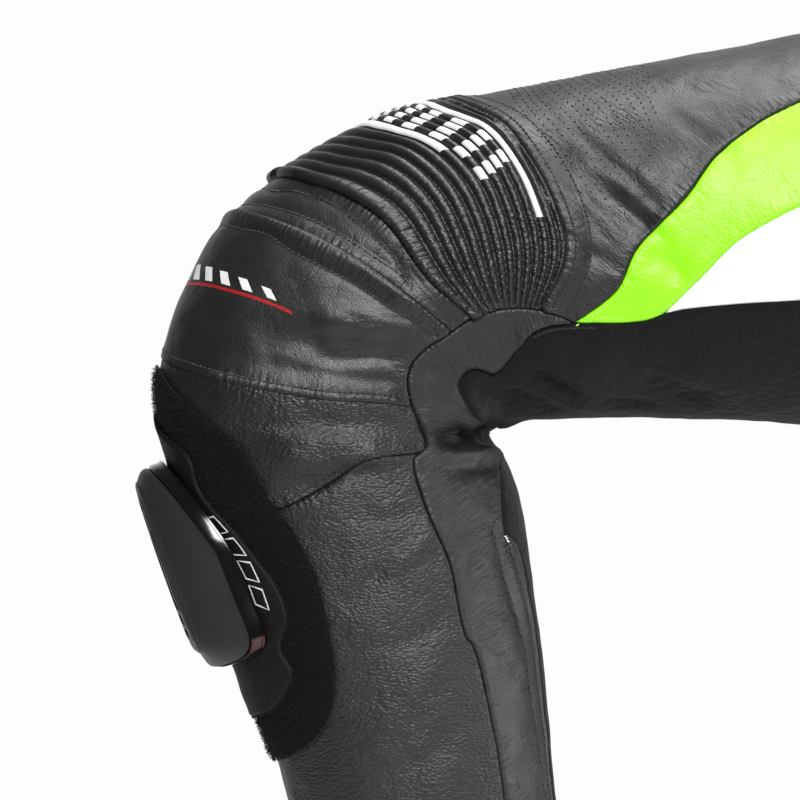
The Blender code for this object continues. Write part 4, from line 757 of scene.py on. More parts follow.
class Half:
    """The meshed right half: places, positions, normals, and the triangles of each piece."""

    def __init__(self):
        outlines = {"loop_panel": (LOOP_OUTLINE, True), "hook_plate": (PLATE_OUTLINE, True),
                    "waist_tab": (TAB_OUTLINE, False), "fly_flap": (FLY_OUTLINE, False)}
        shapes = {}
        for name, (half, closed) in outlines.items():
            curve = resample(through(half, 8), 0.8)
            if closed:
                curve = np.vstack([curve, curve[::-1][1:-1] * np.array([1.0, -1.0])])
            else:
                curve[0] = DRAWING.meet("front_rise", curve[0])
                curve[-1] = DRAWING.meet("front_rise", curve[-1])
            shapes[name] = curve
        self.lines = lines = DRAWING.lines
        coordinates, edges, owners = [], [], []

        def add_line(name, line, closed=False):
            first = len(coordinates)
            coordinates.extend(flat(line))
            ids = list(range(first, len(coordinates))) + ([first] if closed else [])
            edges.extend(zip(ids[:-1], ids[1:]))
            owners.extend([name] * (len(ids) - 1))

        for name, line in lines.items():
            add_line(name, line)
        for name, line in shapes.items():
            add_line(None, line, outlines[name][1])
        for mark in MARKS:
            for ring in (mark.outline, mark.hole):
                if ring is not None:
                    add_line(None, ring, True)
        boundary = flat(np.vstack([lines["front_rise"], lines["inner_seam"][1:], lines["hem"][1:],
                                   lines["inner_seam_back"][::-1][1:], lines["back_rise"][::-1][1:],
                                   lines["waist"][::-1][1:-1]]))
        fixed = np.array(coordinates) / np.array([1.0, FLAT_MM_PER_DEGREE])
        rows = [beside(line, side * d) for name, line in lines.items() if name not in NO_ROWS
                for d in EDGE_ROWS for side in (1, -1)]
        rows += [beside(shapes[n], side * d) for n in shapes for d in (0.7, 1.6) for side in (1, -1)]
        rows += [beside(resample(row.line), d) for row in STITCH_ROWS for d in (-1.5, 0.0, 1.5)]
        rows = keep_apart(np.vstack(rows), fixed, 0.17)
        grid = rib_rows()
        ribs = grid.reshape(-1, 2)
        free = is_apart(ribs, np.vstack([fixed, rows]), 0.22)
        number = np.cumsum(free) - 1 + len(coordinates)
        joined = free[:-1] & free[1:] & (np.arange(1, len(ribs)) % grid.shape[1] != 0)
        coordinates.extend(flat(ribs[free]))
        for i in joined.nonzero()[0]:       # an edge along each row keeps every crest smooth
            edges.append((int(number[i]), int(number[i + 1])))
            owners.append(None)
        accordion = flat(np.vstack([across(ACROSS["accordion_top"]), across(ACROSS["accordion_low"])[::-1]]))
        columns = column_points()
        columns = columns[~inside_polygon(flat(columns), accordion)]
        columns = keep_apart(columns, np.vstack([fixed, rows]), 0.55)
        inner = np.vstack([rows, columns])
        inner = inner[inside_polygon(flat(inner), boundary)]
        coordinates.extend(flat(inner))
        result = delaunay_2d_cdt([tuple(c) for c in coordinates], edges, [], 0, 0.01, True)
        flat_points = np.array([tuple(v) for v in result[0]])
        self.walls = {}
        for (a, b), origin in zip(result[1], result[4]):
            named = [owners[o] for o in origin if o < len(owners) and owners[o]]
            if named:
                self.walls[(min(a, b), max(a, b))] = named[0]
        faces = np.array([tuple(f) for f in result[2]])
        faces = faces[inside_polygon(flat_points[faces].mean(1), boundary)]
        corner = flat_points[faces]
        area = np.cross(corner[:, 1] - corner[:, 0], corner[:, 2] - corner[:, 0])
        faces[area < 0] = faces[area < 0][:, ::-1]
        self.faces = faces
        self.flat_points = flat_points
        self.places = flat_points / np.array([1.0, FLAT_MM_PER_DEGREE])
        self.base = base_point(self.places[:, 0], self.places[:, 1])
        self.normal = base_frame(self.places[:, 0], self.places[:, 1])[0]
        self.on_rise = np.zeros(len(flat_points), bool)
        self.settle_rise()
        self.height = fold_height(self.base, FOLDS) + fold_height(self.base, CREASES)
        self.height += np.where(self.on_rise, 0, 1) * unevenness(self.base)
        self.height -= self.grooves()
        self.pieces = self.name_pieces()
        middle = flat_points[self.faces].mean(1)
        self.shapes = shapes
        for name, outline in shapes.items():
            polygon = outline if outlines[name][1] else np.vstack([outline, self.rise_between(outline)])
            self.pieces[name] = np.where(inside_polygon(middle, flat(polygon)))[0]

    def grooves(self):
        """How far the stitch rows press the leather down."""
        depth = np.zeros(len(self.base))
        for row in STITCH_ROWS:
            line = base_point(*resample(row.line).T)
            near = ((self.base > line.min(0) - 9) & (self.base < line.max(0) + 9)).all(1).nonzero()[0]
            distance = segment_distance(self.base[near], line)[0]
            depth[near] = np.maximum(depth[near], row.dip * np.exp(-(distance / row.width)))
        return depth

    def rise_between(self, outline):
        """The front rise from the end of an outline back to its start."""
        line = self.lines["front_rise"]
        low, high = sorted((outline[0, 0], outline[-1, 0]))
        part = line[(line[:, 0] > low) & (line[:, 0] < high)]
        return part[::-1] if outline[-1, 0] > outline[0, 0] else part

    def settle_rise(self):
        """Put the points of the front and back rise on the middle plane, with normals in it."""
        front, back = self.lines["front_rise"], self.lines["back_rise"][::-1][1:]
        places = np.vstack([front, back])
        inwards = np.concatenate([np.full(len(front), -1.0), np.full(len(back), 1.0)])
        inwards[len(front) - 1] = 0         # the crotch itself
        step = np.zeros(len(places))
        for _ in range(12):                 # step in until the point is on this thigh, not the other
            points = base_point(places[:, 0], places[:, 1] + inwards * step)
            step += np.where(points[:, 0] > 1, 0.75, 0)
        points[:, 0] = -GAP / 2
        along = np.gradient(points, axis=0)
        normals = np.stack([0 * along[:, 0], along[:, 2], -along[:, 1]], 1)
        normals /= np.linalg.norm(normals, axis=1)[:, None]
        crotch_again = flat((CROTCH_STATION, CROTCH_AROUND - 360))
        for place, point, normal in zip(flat(places), points, normals):
            on = np.abs(self.flat_points - place).sum(1) < 0.05
            if abs(place[0] - CROTCH_STATION) < 0.01:
                on |= np.abs(self.flat_points - crotch_again).sum(1) < 0.05
            self.on_rise |= on
            self.base[on] = point
            self.normal[on] = normal

    def name_pieces(self):
        """Flood each piece from a place inside it, stopping at seams."""
        owner = {}
        for i, (a, b, c) in enumerate(self.faces.tolist()):
            for edge in ((a, b), (b, c), (c, a)):
                owner.setdefault((min(edge), max(edge)), []).append(i)
        neighbours = [[] for _ in self.faces]
        for edge, pair in owner.items():
            if len(pair) == 2 and edge not in self.walls:
                neighbours[pair[0]].append(pair[1])
                neighbours[pair[1]].append(pair[0])
        middle = self.flat_points[self.faces].mean(1)
        pieces = {}
        for name, seed in PANEL_SEEDS.items():
            start = int(np.argmin(np.abs(middle - flat(seed)).sum(1)))
            queue, found = [start], {start}
            while queue:
                for other in neighbours[queue.pop()]:
                    if other not in found:
                        found.add(other)
                        queue.append(other)
            pieces[name] = np.array(sorted(found))
        return pieces


half = Half()
print(len(half.base), "points,", len(half.faces), "triangles in the right half")

# %% [markdown]
# ## From the net to a cut piece
# Each piece is a closed shell: an outer face that carries folds, grain and rolled edges, an inner
# face a wall thickness below, and a rim between them. An edge is what tells sewn leather from
# painted rubber, so each one has its own profile: it may stand up (lift), roll down (depth, within
# round) and lie over its neighbour (over).

# %% Edges
Edge = namedtuple("Edge", "lift reach depth round over", defaults=(0.0, 4.0, 1.3, 2.4, -0.05))
PLAIN_EDGE = Edge()
OPEN_EDGE = Edge(depth=0.5, round=0.9, over=0.0)        # waist, hem and the middle plane
EDGES = {
    ("knee_accordion", "accordion_low"): Edge(2.4, 3.6, 2.6, 3.0, 2.6),
    ("knee_cup", "accordion_low"): Edge(depth=1.2, round=5.0),
    ("knee_band", "band_ridge"): Edge(1.9, 6.0, 2.0, 2.4, 2.0),
    ("knee_cup", "band_ridge"): Edge(depth=1.0, round=4.0),
    ("knee_band", "band_low"): Edge(0.9, 5.0, 1.3, 1.4, 1.2),
    ("shin_upper", "band_low"): Edge(depth=0.9, round=3.5),
    ("front_thigh", "accordion_top"): Edge(2.6, 8.0, 2.9, 2.8, 2.2),
    ("knee_accordion", "accordion_top"): Edge(depth=1.6, round=3.0),
    ("side_inner", "inner_seam"): Edge(0.7, 5.0, 1.4, 2.0, 0.3),
    ("side_inner", "zip_edge"): Edge(0.7, 5.0, 1.4, 2.0, 0.3),
    ("shin_upper", "shin_seam"): Edge(0.5, 5.0, 1.5, 2.0, 0.3),
    ("waistband", "waist_seam"): Edge(0.7, 5.0, 1.4, 2.0, 0.4),
    ("zip_tape", "inner_seam_back"): Edge(depth=0.3, round=1.0, over=1.0),
    ("zip_tape", "zip_edge"): Edge(depth=0.3, round=1.0, over=1.0),
}
ROLLED_SIDE = Edge(1.9, 6.0, 2.2, 3.2, 1.2)             # side panel's front edge, down to the calf
ROLL_ENDS = 690.0
LAYERS = {                          # height above the leather, and own thickness
    "loop_panel": (2.3, 2.0), "hook_plate": (4.8, 2.2), "waist_tab": (2.1, 1.8), "fly_flap": (2.1, 1.8),
    "zip_tape": (-0.7, 1.1),
}
MIDDLE_PIECES = ("waist_tab", "fly_flap")


def edge_profile(distance, edge):
    """Height beside an edge: lifted within reach, rolled down within round."""
    lifted = edge.lift * np.exp(-(distance / edge.reach)**2)
    t = np.clip(1 - distance / edge.round, 0, 1)
    return lifted - edge.depth * (1 - np.sqrt(np.maximum(1 - t * t, 0)))


def rib_share(places):
    """How far across the ribbed panel a place lies: 0 at its top seam, 1 at its lower one."""
    top, low = across(ACROSS["accordion_top"]), across(ACROSS["accordion_low"])
    top_at = np.interp(-places[:, 1], -top[:, 1], top[:, 0])
    low_at = np.interp(-places[:, 1], -low[:, 1], low[:, 0])
    return (places[:, 0] - top_at) / np.maximum(low_at - top_at, 1), low_at - top_at


def rib_height(places):
    """Round tubes with deep narrow valleys, lower where they draw together at the sides."""
    share, span = rib_share(places)
    _, along, _ = base_frame(places[:, 0], places[:, 1])
    pitch = span * np.linalg.norm(along, axis=1) / RIBS
    phase = (share * RIBS) % 1 * 2 - 1
    tube = np.sqrt(np.maximum(1 - 0.98 * phase**2, 0)) - 0.35
    return np.clip(0.70 * pitch, 1.4, 3.8) * tube


# %% Shells


class Panel:
    """One cut piece on the right half: its outer and inner points and its faces."""

    def __init__(self, name):
        self.name = name
        faces = half.faces[half.pieces[name]]
        used, inverse = np.unique(faces, return_inverse=True)
        self.faces = inverse.reshape(faces.shape)
        self.places = half.places[used]
        self.used = used
        base, normal = half.base[used], half.normal[used]
        raise_by, wall = LAYERS.get(name, (0.0, WALL))
        self.borders = self.find_borders(used)
        height = half.height[used].copy()
        if name == "knee_accordion":
            height += rib_height(self.places)
        shift = np.zeros_like(base)
        edge_distance = np.full(len(used), 99.0)
        self.run = np.zeros(len(used))
        for seam, chains in self.borders.items():
            for chain in chains:
                edge = self.edge_for(seam, chain)
                distance, which, nearest = segment_distance(base, base[chain])
                outward = self.outward(base, normal, chain)
                height += edge_profile(distance, edge)
                shift += (edge.over * np.exp(-distance / 3))[:, None] * outward[which]
                run = run_along(base[chain])[which]
                run += np.linalg.norm(nearest - base[chain][which], axis=1)
                self.run = np.where(distance < edge_distance, run, self.run)
                edge_distance = np.minimum(edge_distance, distance)
        self.edge_distance = edge_distance
        jump = np.ptp(self.run[self.faces], axis=1) > 7
        near = np.clip(1 - edge_distance / 11, 0, 1)
        near[np.unique(self.faces[jump])] = 0
        self.pull = near * near * (3 - 2 * near)
        smooth = fold_height(base, FOLDS)
        outer_height = height + raise_by
        inner_height = np.minimum(smooth + raise_by - wall, outer_height - 0.5)
        self.outer = base + normal * outer_height[:, None] + shift
        self.inner = base + normal * inner_height[:, None] + 0.6 * shift
        self.marks = self.find_marks(name)

    def find_borders(self, used):
        """The piece's border, as chains of its own points with the name of the seam they are on."""
        edges = {(a, b) for f in self.faces.tolist() for a, b in zip(f, f[1:] + f[:1])}
        follows = {a: b for a, b in edges if (b, a) not in edges}
        before = {b: a for a, b in follows.items()}
        seam_at = {}
        for a, b in follows.items():
            pair = int(used[a]), int(used[b])
            seam_at[a] = half.walls.get((min(pair), max(pair)), "own edge")
        starts = sorted(a for a in follows if seam_at[before[a]] != seam_at[a]) or [min(follows)]
        chains = {}
        for start in starts:
            seam, chain = seam_at[start], [start, follows[start]]
            while seam_at[chain[-1]] == seam and chain[-1] != start:
                chain.append(follows[chain[-1]])
            chains.setdefault(seam, []).append(np.array(chain))
        return chains

    def edge_for(self, seam, chain):
        if seam in ("front_rise", "back_rise", "waist", "hem"):
            return OPEN_EDGE
        if seam == "side_front" and self.name == "side_inner" and self.places[chain, 0].mean() < ROLL_ENDS:
            return ROLLED_SIDE
        if self.name in ("loop_panel", "hook_plate"):
            return Edge(depth=0.9, round=1.2, over=0.0)
        return EDGES.get((self.name, seam), PLAIN_EDGE)

    @staticmethod
    def outward(base, normal, chain):
        """For each segment of a border, the direction out of the piece."""
        run = base[chain[1:]] - base[chain[:-1]]
        up = normal[chain[1:]] + normal[chain[:-1]]
        out = np.cross(run, up)
        return out / np.maximum(np.linalg.norm(out, axis=1), 1e-9)[:, None]

    def find_marks(self, name):
        """Which printed colour each face has, 0 for none."""
        middle = flat(self.places)[self.faces].mean(1)
        colours = np.zeros(len(self.faces), int)
        for mark in MARKS:
            if mark.panel == name:
                inside = inside_polygon(middle, flat(mark.outline))
                if mark.hole is not None:
                    inside &= ~inside_polygon(middle, flat(mark.hole))
                colours[inside] = PRINTS.index(mark.colour) + 1
        if name == "knee_accordion":
            place = self.places[self.faces].mean(1)
            row = np.floor(rib_share(place)[0] * RIBS * RIB_ROWS).astype(int)
            column = np.floor((place[:, 1] + RIB_SPAN) * (RIB_COLUMNS - 1) / (2 * RIB_SPAN))
            crest = (row % RIB_ROWS > 0) & (row % RIB_ROWS < RIB_ROWS - 1)
            for mark in RIB_MARKS:
                on_rib = crest & (row // RIB_ROWS == mark.rib)
                colours[on_rib & (column >= mark.first) & (column < mark.last)] = 1
        return colours

    def shell(self):
        """Points and faces of the closed wall: outer face, inner face and the rim between them."""
        n = len(self.outer)
        rim = [face for chains in self.borders.values() for chain in chains
               for a, b in zip(chain[:-1], chain[1:]) for face in ((b, a, a + n), (b, a + n, b + n))]
        return np.vstack([self.outer, self.inner]), np.vstack([self.faces, self.faces[:, ::-1] + n, rim])


PRINTS = ["white print", "red print"]
panels = {name: Panel(name) for name in [*PANEL_SEEDS, "loop_panel", "hook_plate", "waist_tab", "fly_flap"]}
print("panel triangles:", 2 * sum(2 * len(p.faces) for p in panels.values()))

# %% [markdown]
# ## Materials
# Everything here is nearly black, so colour can't tell the pieces apart. Gloss, grain and the size
# of that grain do: pebbled shin leather, smooth side panels, matte knitted cloth, furry loop tape
# and moulded plastic. Each finish is built from noise or cells in real millimetres.

# %% Material helpers
MM = 1000.0                         # pattern scale for one cell per millimetre


def linear(hex_colour):
    """An sRGB hex colour as linear red, green and blue with alpha."""
    srgb = [int(hex_colour[i:i + 2], 16) / 255 for i in (1, 3, 5)]
    return (*(c / 12.92 if c < 0.04045 else ((c + 0.055) / 1.055)**2.4 for c in srgb), 1.0)


def put(tree, kind, settings=None, **sockets):
    """Add a node: settings are its properties, sockets its inputs as values or other nodes' outputs."""
    node = tree.nodes.new(kind)
    for name, value in (settings or {}).items():
        setattr(node, name, value)
    for name, value in sockets.items():
        key = int(name[1:]) if name[1:].isdigit() else name.replace("_", " ")
        socket = node.inputs[key]
        if isinstance(value, bpy.types.NodeSocket):
            tree.links.new(value, socket)
        else:
            socket.default_value = value
    return node


def new_material(name):
    """An empty node material with its output; returns the material, its tree and Object coordinates."""
    made = bpy.data.materials.new(name)
    made.use_nodes = True
    tree = made.node_tree
    tree.nodes.clear()
    return made, tree, put(tree, "ShaderNodeTexCoord").outputs["Object"]


def finish_material(tree, heights=(), **sockets):
    """Close a material with a Principled shader; heights are (height output, millimetres) of its relief."""
    if heights:
        total = 0.0
        for height, millimetres in heights:
            total = put(tree, "ShaderNodeMath", {"operation": "MULTIPLY_ADD"}, i0=height,
                        i1=millimetres / 1000, i2=total).outputs[0]
        sockets["Normal"] = put(tree, "ShaderNodeBump", None, Strength=1.0, Distance=1.0,
                                Height=total).outputs[0]
    shader = put(tree, "ShaderNodeBsdfPrincipled", None, **sockets)
    put(tree, "ShaderNodeOutputMaterial", None, Surface=shader.outputs[0])


def speckled(tree, place, low, high, per_mm, **more):
    """A colour that wanders between two hex colours over patches of a given size."""
    patch = put(tree, "ShaderNodeTexNoise", None, Vector=place, Scale=per_mm * MM, Detail=3.0, **more)
    return put(tree, "ShaderNodeMix", {"data_type": "RGBA"}, i0=patch.outputs["Fac"],
               i6=linear(low), i7=linear(high)).outputs[2]


# %% [markdown]
# **Leather** is a skin with cells: a Voronoi pattern gives the pebbles, a fine noise the pores, and
# stretching the coordinates draws the cells out sideways as tanned hide has them. On top lie the
# soft creases that wear leaves, as thin lines where a slow noise crosses zero, and the puckers
# that a seam pulls in: they run across the seam, so they are built from attributes of the mesh,
# the run along the nearest seam, the distance from it and the strength of its pull.

# %% Leather


def crease_lines(tree, place, per_mm, thin):
    """Thin valleys where a noise crosses its middle value: 1 on the line, 0 beside it."""
    slow = put(tree, "ShaderNodeTexNoise", None, Vector=place, Scale=per_mm * MM, Detail=2.0, Distortion=0.4)
    off = put(tree, "ShaderNodeMath", {"operation": "SUBTRACT"}, i0=slow.outputs["Fac"], i1=0.5)
    size = put(tree, "ShaderNodeMath", {"operation": "ABSOLUTE"}, i0=off.outputs[0])
    return put(tree, "ShaderNodeMapRange", {"interpolation_type": "SMOOTHSTEP"}, i0=size.outputs[0],
               i1=0.0, i2=thin, i3=1.0, i4=0.0).outputs[0]


def seam_puckers(tree, pitch_mm):
    """Ridges across the nearest seam, as strong as the mesh's attribute for the seam's pull."""
    run = put(tree, "ShaderNodeAttribute", {"attribute_name": "run"}).outputs["Fac"]
    edge = put(tree, "ShaderNodeAttribute", {"attribute_name": "edge"}).outputs["Fac"]
    across_seam = put(tree, "ShaderNodeMath", {"operation": "MULTIPLY"}, i0=run, i1=MM / pitch_mm)
    from_seam = put(tree, "ShaderNodeMath", {"operation": "MULTIPLY"}, i0=edge, i1=MM / (4 * pitch_mm))
    at = put(tree, "ShaderNodeCombineXYZ", None, X=across_seam.outputs[0], Y=from_seam.outputs[0])
    ridges = put(tree, "ShaderNodeTexNoise", None, Vector=at.outputs[0], Scale=1.0, Detail=1.0)
    pull = put(tree, "ShaderNodeAttribute", {"attribute_name": "pull"}).outputs["Fac"]
    return put(tree, "ShaderNodeMath", {"operation": "MULTIPLY"}, i0=ridges.outputs["Fac"],
               i1=pull).outputs[0]


def fine_wrinkles(tree, place, turn):
    """Fine parallel wrinkles in patches, as in leather that bends often."""
    pattern = put(tree, "ShaderNodeUVMap", {"uv_map": "pattern"}).outputs[0]
    turned = put(tree, "ShaderNodeMapping", {"vector_type": "TEXTURE"}, Vector=pattern,
                 Rotation=(0.0, 0.0, turn), Scale=(1.8 / MM, 10 / MM, 1.0)).outputs[0]
    lines = put(tree, "ShaderNodeTexNoise", None, Vector=turned, Scale=1.0, Detail=2.0, Distortion=0.3)
    slow = put(tree, "ShaderNodeTexNoise", None, Vector=place, Scale=0.045 * MM, Detail=1.0)
    patch = put(tree, "ShaderNodeMapRange", {"interpolation_type": "SMOOTHSTEP"}, i0=slow.outputs["Fac"],
                i1=0.42, i2=0.60, i3=0.15, i4=1.0)
    return put(tree, "ShaderNodeMath", {"operation": "MULTIPLY"}, i0=lines.outputs["Fac"],
               i1=patch.outputs[0]).outputs[0]


def leather(name, low, high, cell, depth, rough, stretch=(1.0, 1.0, 1.0), crease=0.03, pucker=0.9,
            wrinkle=0.5, turn=0.9, extra=None):
    """Full-grain cowhide, pigmented and lightly waxed: soft gloss over fine cells."""
    made, tree, place = new_material(name)
    drawn = put(tree, "ShaderNodeMapping", {"vector_type": "POINT"}, Vector=place, Scale=stretch).outputs[0]
    bend = put(tree, "ShaderNodeTexNoise", None, Vector=drawn, Scale=0.5 * MM / cell, Detail=2.0)
    mixed = put(tree, "ShaderNodeMix", {"data_type": "VECTOR"}, i0=0.0005 * cell, i4=drawn,
                i5=bend.outputs["Color"]).outputs[1]
    cells = put(tree, "ShaderNodeTexVoronoi", {"feature": "SMOOTH_F1"}, Vector=mixed, Scale=MM / cell,
                Smoothness=0.3)
    pores = put(tree, "ShaderNodeTexNoise", None, Vector=place, Scale=1.5 * MM, Detail=2.0)
    ground = put(tree, "ShaderNodeTexNoise", None, Vector=place, Scale=0.07 * MM, Detail=2.0)
    heights = [(cells.outputs["Distance"], -depth), (pores.outputs["Fac"], 0.05),
               (ground.outputs["Fac"], 0.55), (crease_lines(tree, drawn, 0.10, 0.05), -crease),
               (crease_lines(tree, place, 0.04, 0.04), -1.6 * crease)]
    if pucker:
        heights.append((seam_puckers(tree, 2.6), pucker))
    if wrinkle:
        heights.append((fine_wrinkles(tree, place, turn), wrinkle))
    if extra:
        heights.append(extra(tree))
    roughness = put(tree, "ShaderNodeMapRange", None, Value=ground.outputs["Fac"], i3=rough - 0.10,
                    i4=rough + 0.10)
    finish_material(tree, heights, Base_Color=speckled(tree, place, low, high, 0.03),
                    Roughness=roughness.outputs[0], Specular_IOR_Level=0.5)
    return made


def rope_puckers(tree):
    """Slanting ridges over the ribs where they draw together at the sides, like a rope's strands."""
    pattern = put(tree, "ShaderNodeUVMap", {"uv_map": "pattern"}).outputs[0]
    turned = put(tree, "ShaderNodeMapping", {"vector_type": "TEXTURE"}, Vector=pattern,
                 Rotation=(0.0, 0.0, 0.5), Scale=(2 / MM, 5 / MM, 1.0)).outputs[0]
    strands = put(tree, "ShaderNodeTexNoise", None, Vector=turned, Scale=1.0, Detail=1.0)
    gather = put(tree, "ShaderNodeAttribute", {"attribute_name": "gather"}).outputs["Fac"]
    ridges = put(tree, "ShaderNodeMath", {"operation": "MULTIPLY"}, i0=strands.outputs["Fac"], i1=gather)
    return ridges.outputs[0], 1.5


LEATHERS = {
    "black leather": leather("smooth black leather", "#101012", "#19191c", 0.9, 0.11, 0.44),
    "perforated leather": leather("soft black leather for perforating", "#101013", "#18181b", 0.85, 0.10,
                                  0.47),
    "rib leather": leather("thin black leather gathered on elastic", "#101012", "#19191c", 0.7, 0.06, 0.42,
                           crease=0.0, wrinkle=0.0, pucker=0.0, extra=rope_puckers),
    "knee leather": leather("printed black knee leather", "#0f0e0e", "#191817", 0.8, 0.09, 0.45,
                            crease=0.035, wrinkle=0.3),
    "shin leather": leather("pebbled black leather", "#0b0b0d", "#141416", 1.1, 0.40, 0.50,
                            (0.58, 0.58, 1.0), 0.05, wrinkle=0.35, turn=1.5),
    "side leather": leather("supple black leather of the knee sides", "#101012", "#19191c", 0.85, 0.10, 0.50,
                            pucker=0.6, wrinkle=1.0, turn=1.35),
    "green leather": leather("neon green leather", "#82dc00", "#93ea00", 1.1, 0.12, 0.45, pucker=0.7,
                             wrinkle=0.25),
    "white leather": leather("white leather", "#e9e9e6", "#f6f6f4", 1.1, 0.08, 0.42, pucker=0.5,
                             wrinkle=0.25),
}

# %% [markdown]
# **Cloth and tape.** The stretch cloth is a knit: two crossing waves a little under a millimetre
# apart, with no gloss at all. The hook plate is a moulded field of tiny hooks, the loop tape's
# ground cloth lies dark under its pile, and the zip tape is a tight herringbone.

# %% Cloth


def cloth(name, low, high, pitch, depth, rough, slow=0.8, sheen=0.1):
    """Woven or knitted polyamide: two crossing waves, matte, over a slow unevenness."""
    made, tree, place = new_material(name)
    pattern = put(tree, "ShaderNodeUVMap", {"uv_map": "pattern"}).outputs[0]
    bent = put(tree, "ShaderNodeTexNoise", None, Vector=place, Scale=0.2 * MM, Detail=2.0)
    across_it = put(tree, "ShaderNodeTexWave", {"bands_direction": "DIAGONAL"}, Vector=pattern,
                    Scale=0.31 * MM / pitch, Distortion=0.6)
    along_it = put(tree, "ShaderNodeTexWave", {"bands_direction": "Y"}, Vector=pattern,
                   Scale=0.31 * MM / pitch, Distortion=0.6)
    fuzz = put(tree, "ShaderNodeTexNoise", None, Vector=place, Scale=3.0 * MM, Detail=2.0)
    heights = [(across_it.outputs["Fac"], depth), (along_it.outputs["Fac"], depth),
               (bent.outputs["Fac"], slow), (fuzz.outputs["Fac"], 0.08)]
    finish_material(tree, heights, Base_Color=speckled(tree, place, low, high, 0.5), Roughness=rough,
                    Sheen_Weight=sheen, Sheen_Roughness=0.6, Specular_IOR_Level=0.25)
    return made


CLOTHS = {
    "stretch cloth": cloth("aramid and elastane stretch cloth", "#040305", "#080609", 0.8, 0.09, 0.95, 1.6,
                           0.05),
    "zip cloth": cloth("woven polyester zip tape", "#09090b", "#121214", 0.9, 0.08, 0.8),
    "loop pile": cloth("ground cloth of the loop tape", "#020202", "#060606", 0.7, 0.10, 1.0, 0.8, 0.0),
    "hook plate": cloth("moulded hook tape", "#060303", "#0c0707", 0.9, 0.07, 0.65, 0.4, 0.0),
}


def ink(name, low, high):
    """Flexible transfer film: smooth, a little glossier than the leather under it."""
    made, tree, place = new_material(name)
    grain = put(tree, "ShaderNodeTexNoise", None, Vector=place, Scale=1.2 * MM, Detail=2.0)
    wear = put(tree, "ShaderNodeTexNoise", None, Vector=place, Scale=0.2 * MM, Detail=3.0)
    heights = [(grain.outputs["Fac"], 0.05), (wear.outputs["Fac"], 0.4)]
    rough = put(tree, "ShaderNodeMapRange", None, Value=wear.outputs["Fac"], i3=0.34, i4=0.50)
    finish_material(tree, heights, Base_Color=speckled(tree, place, low, high, 0.1),
                    Roughness=rough.outputs[0])
    return made


INKS = {"white print": ink("white transfer print", "#c6c6c4", "#dededc"),
        "red print": ink("red transfer print", "#8f0d14", "#a5131b")}
FINISH_OF = {
    "waistband": "black leather", "front_thigh": "perforated leather", "green_insert": "green leather",
    "white_insert": "white leather", "knee_accordion": "rib leather", "knee_cup": "knee leather",
    "knee_band": "knee leather", "shin_upper": "shin leather", "shin_lower": "shin leather",
    "side_inner": "side leather", "side_outer": "side leather", "seat_back": "black leather",
    "stretch": "stretch cloth", "zip_tape": "zip cloth", "loop_panel": "loop pile",
    "hook_plate": "hook plate", "waist_tab": "black leather", "fly_flap": "black leather",
}
print(len(LEATHERS) + len(CLOTHS) + len(INKS), "cloth and leather finishes")

# %% [markdown]
# ## Right and left pieces
# The left leg is the mirror of the right, as its pattern pieces are. Mirroring the points and
# turning each face round keeps the outside outside, which a negative scale would not.

# %% Panel objects


def add_mesh(name, points, faces, materials, face_materials=None):
    """A smooth-shaded mesh object from points in millimetres."""
    mesh = bpy.data.meshes.new(name)
    mesh.from_pydata((points / 1000).tolist(), [], faces.tolist())
    for finish in materials:
        mesh.materials.append(finish)
    if face_materials is not None:
        mesh.polygons.foreach_set("material_index", face_materials.astype(np.int32))
    mesh.shade_smooth()
    made = bpy.data.objects.new(name, mesh)
    bpy.context.scene.collection.objects.link(made)
    return made


def add_panel(name, panel, side):
    """One cut piece as an object, with its pattern coordinates and edge distance."""
    points, faces = panel.shell()
    if side == "left":
        points, faces = points * MIRROR, faces[:, ::-1]
    inks = sorted(set(panel.marks[panel.marks > 0].tolist()))
    materials = [(LEATHERS | CLOTHS)[FINISH_OF[panel.name]]] + [INKS[PRINTS[i - 1]] for i in inks]
    index = np.zeros(len(faces), int)
    for slot, ink in enumerate(inks):
        index[:len(panel.marks)][panel.marks == ink] = slot + 1
    made = add_mesh(name, points, faces, materials, index)
    uv = made.data.uv_layers.new(name="pattern")
    places = np.vstack([panel.places, panel.places]) * np.array([1, FLAT_MM_PER_DEGREE]) / 1000
    loops = np.empty(len(made.data.loops), int)
    made.data.loops.foreach_get("vertex_index", loops)
    uv.data.foreach_set("uv", places[loops][:, ::-1].ravel())
    gather = np.clip((np.abs(panel.places[:, 1]) - 28) / 50, 0, 1)
    for key, values in (("edge", np.minimum(panel.edge_distance, 20) / 1000), ("run", panel.run / 1000),
                        ("pull", panel.pull), ("gather", gather)):
        made.data.attributes.new(key, "FLOAT", "POINT").data.foreach_set("value", np.tile(values, 2))
    return made


for panel in panels.values():
    if panel.name in MIDDLE_PIECES:
        continue
    for side in ("right", "left"):
        node = f"{side}_{panel.name}"
        made = add_panel(f"{node}_piece", panel, side)
        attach(made, "trousers")
        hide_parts(node)

# %% [markdown]
# ## Sewing
# Thread shows as a row of short bars sunk in small holes, and the shade inside each hole is painted
# as a black disc. Thousands of them repeat one shape along rows, which is work for Geometry Nodes: a
# mesh of bare points says where each stitch is, and two attributes say which way it runs and which
# way is out. One tree serves stitches, the painted hole shade and teeth.

# %% Geometry Nodes: a small shape on every point
SHAPES = {
    "grain": ("GeometryNodeMeshIcoSphere", {"Radius": 0.5, "Subdivisions": 1}),
    "disc": ("GeometryNodeMeshCone", {"Vertices": 7, "Radius Top": 0.5, "Radius Bottom": 0.0, "Depth": 1.0}),
    "hair": ("GeometryNodeMeshCone", {"Vertices": 3, "Radius Top": 0.0, "Radius Bottom": 0.5, "Depth": 1.0}),
}


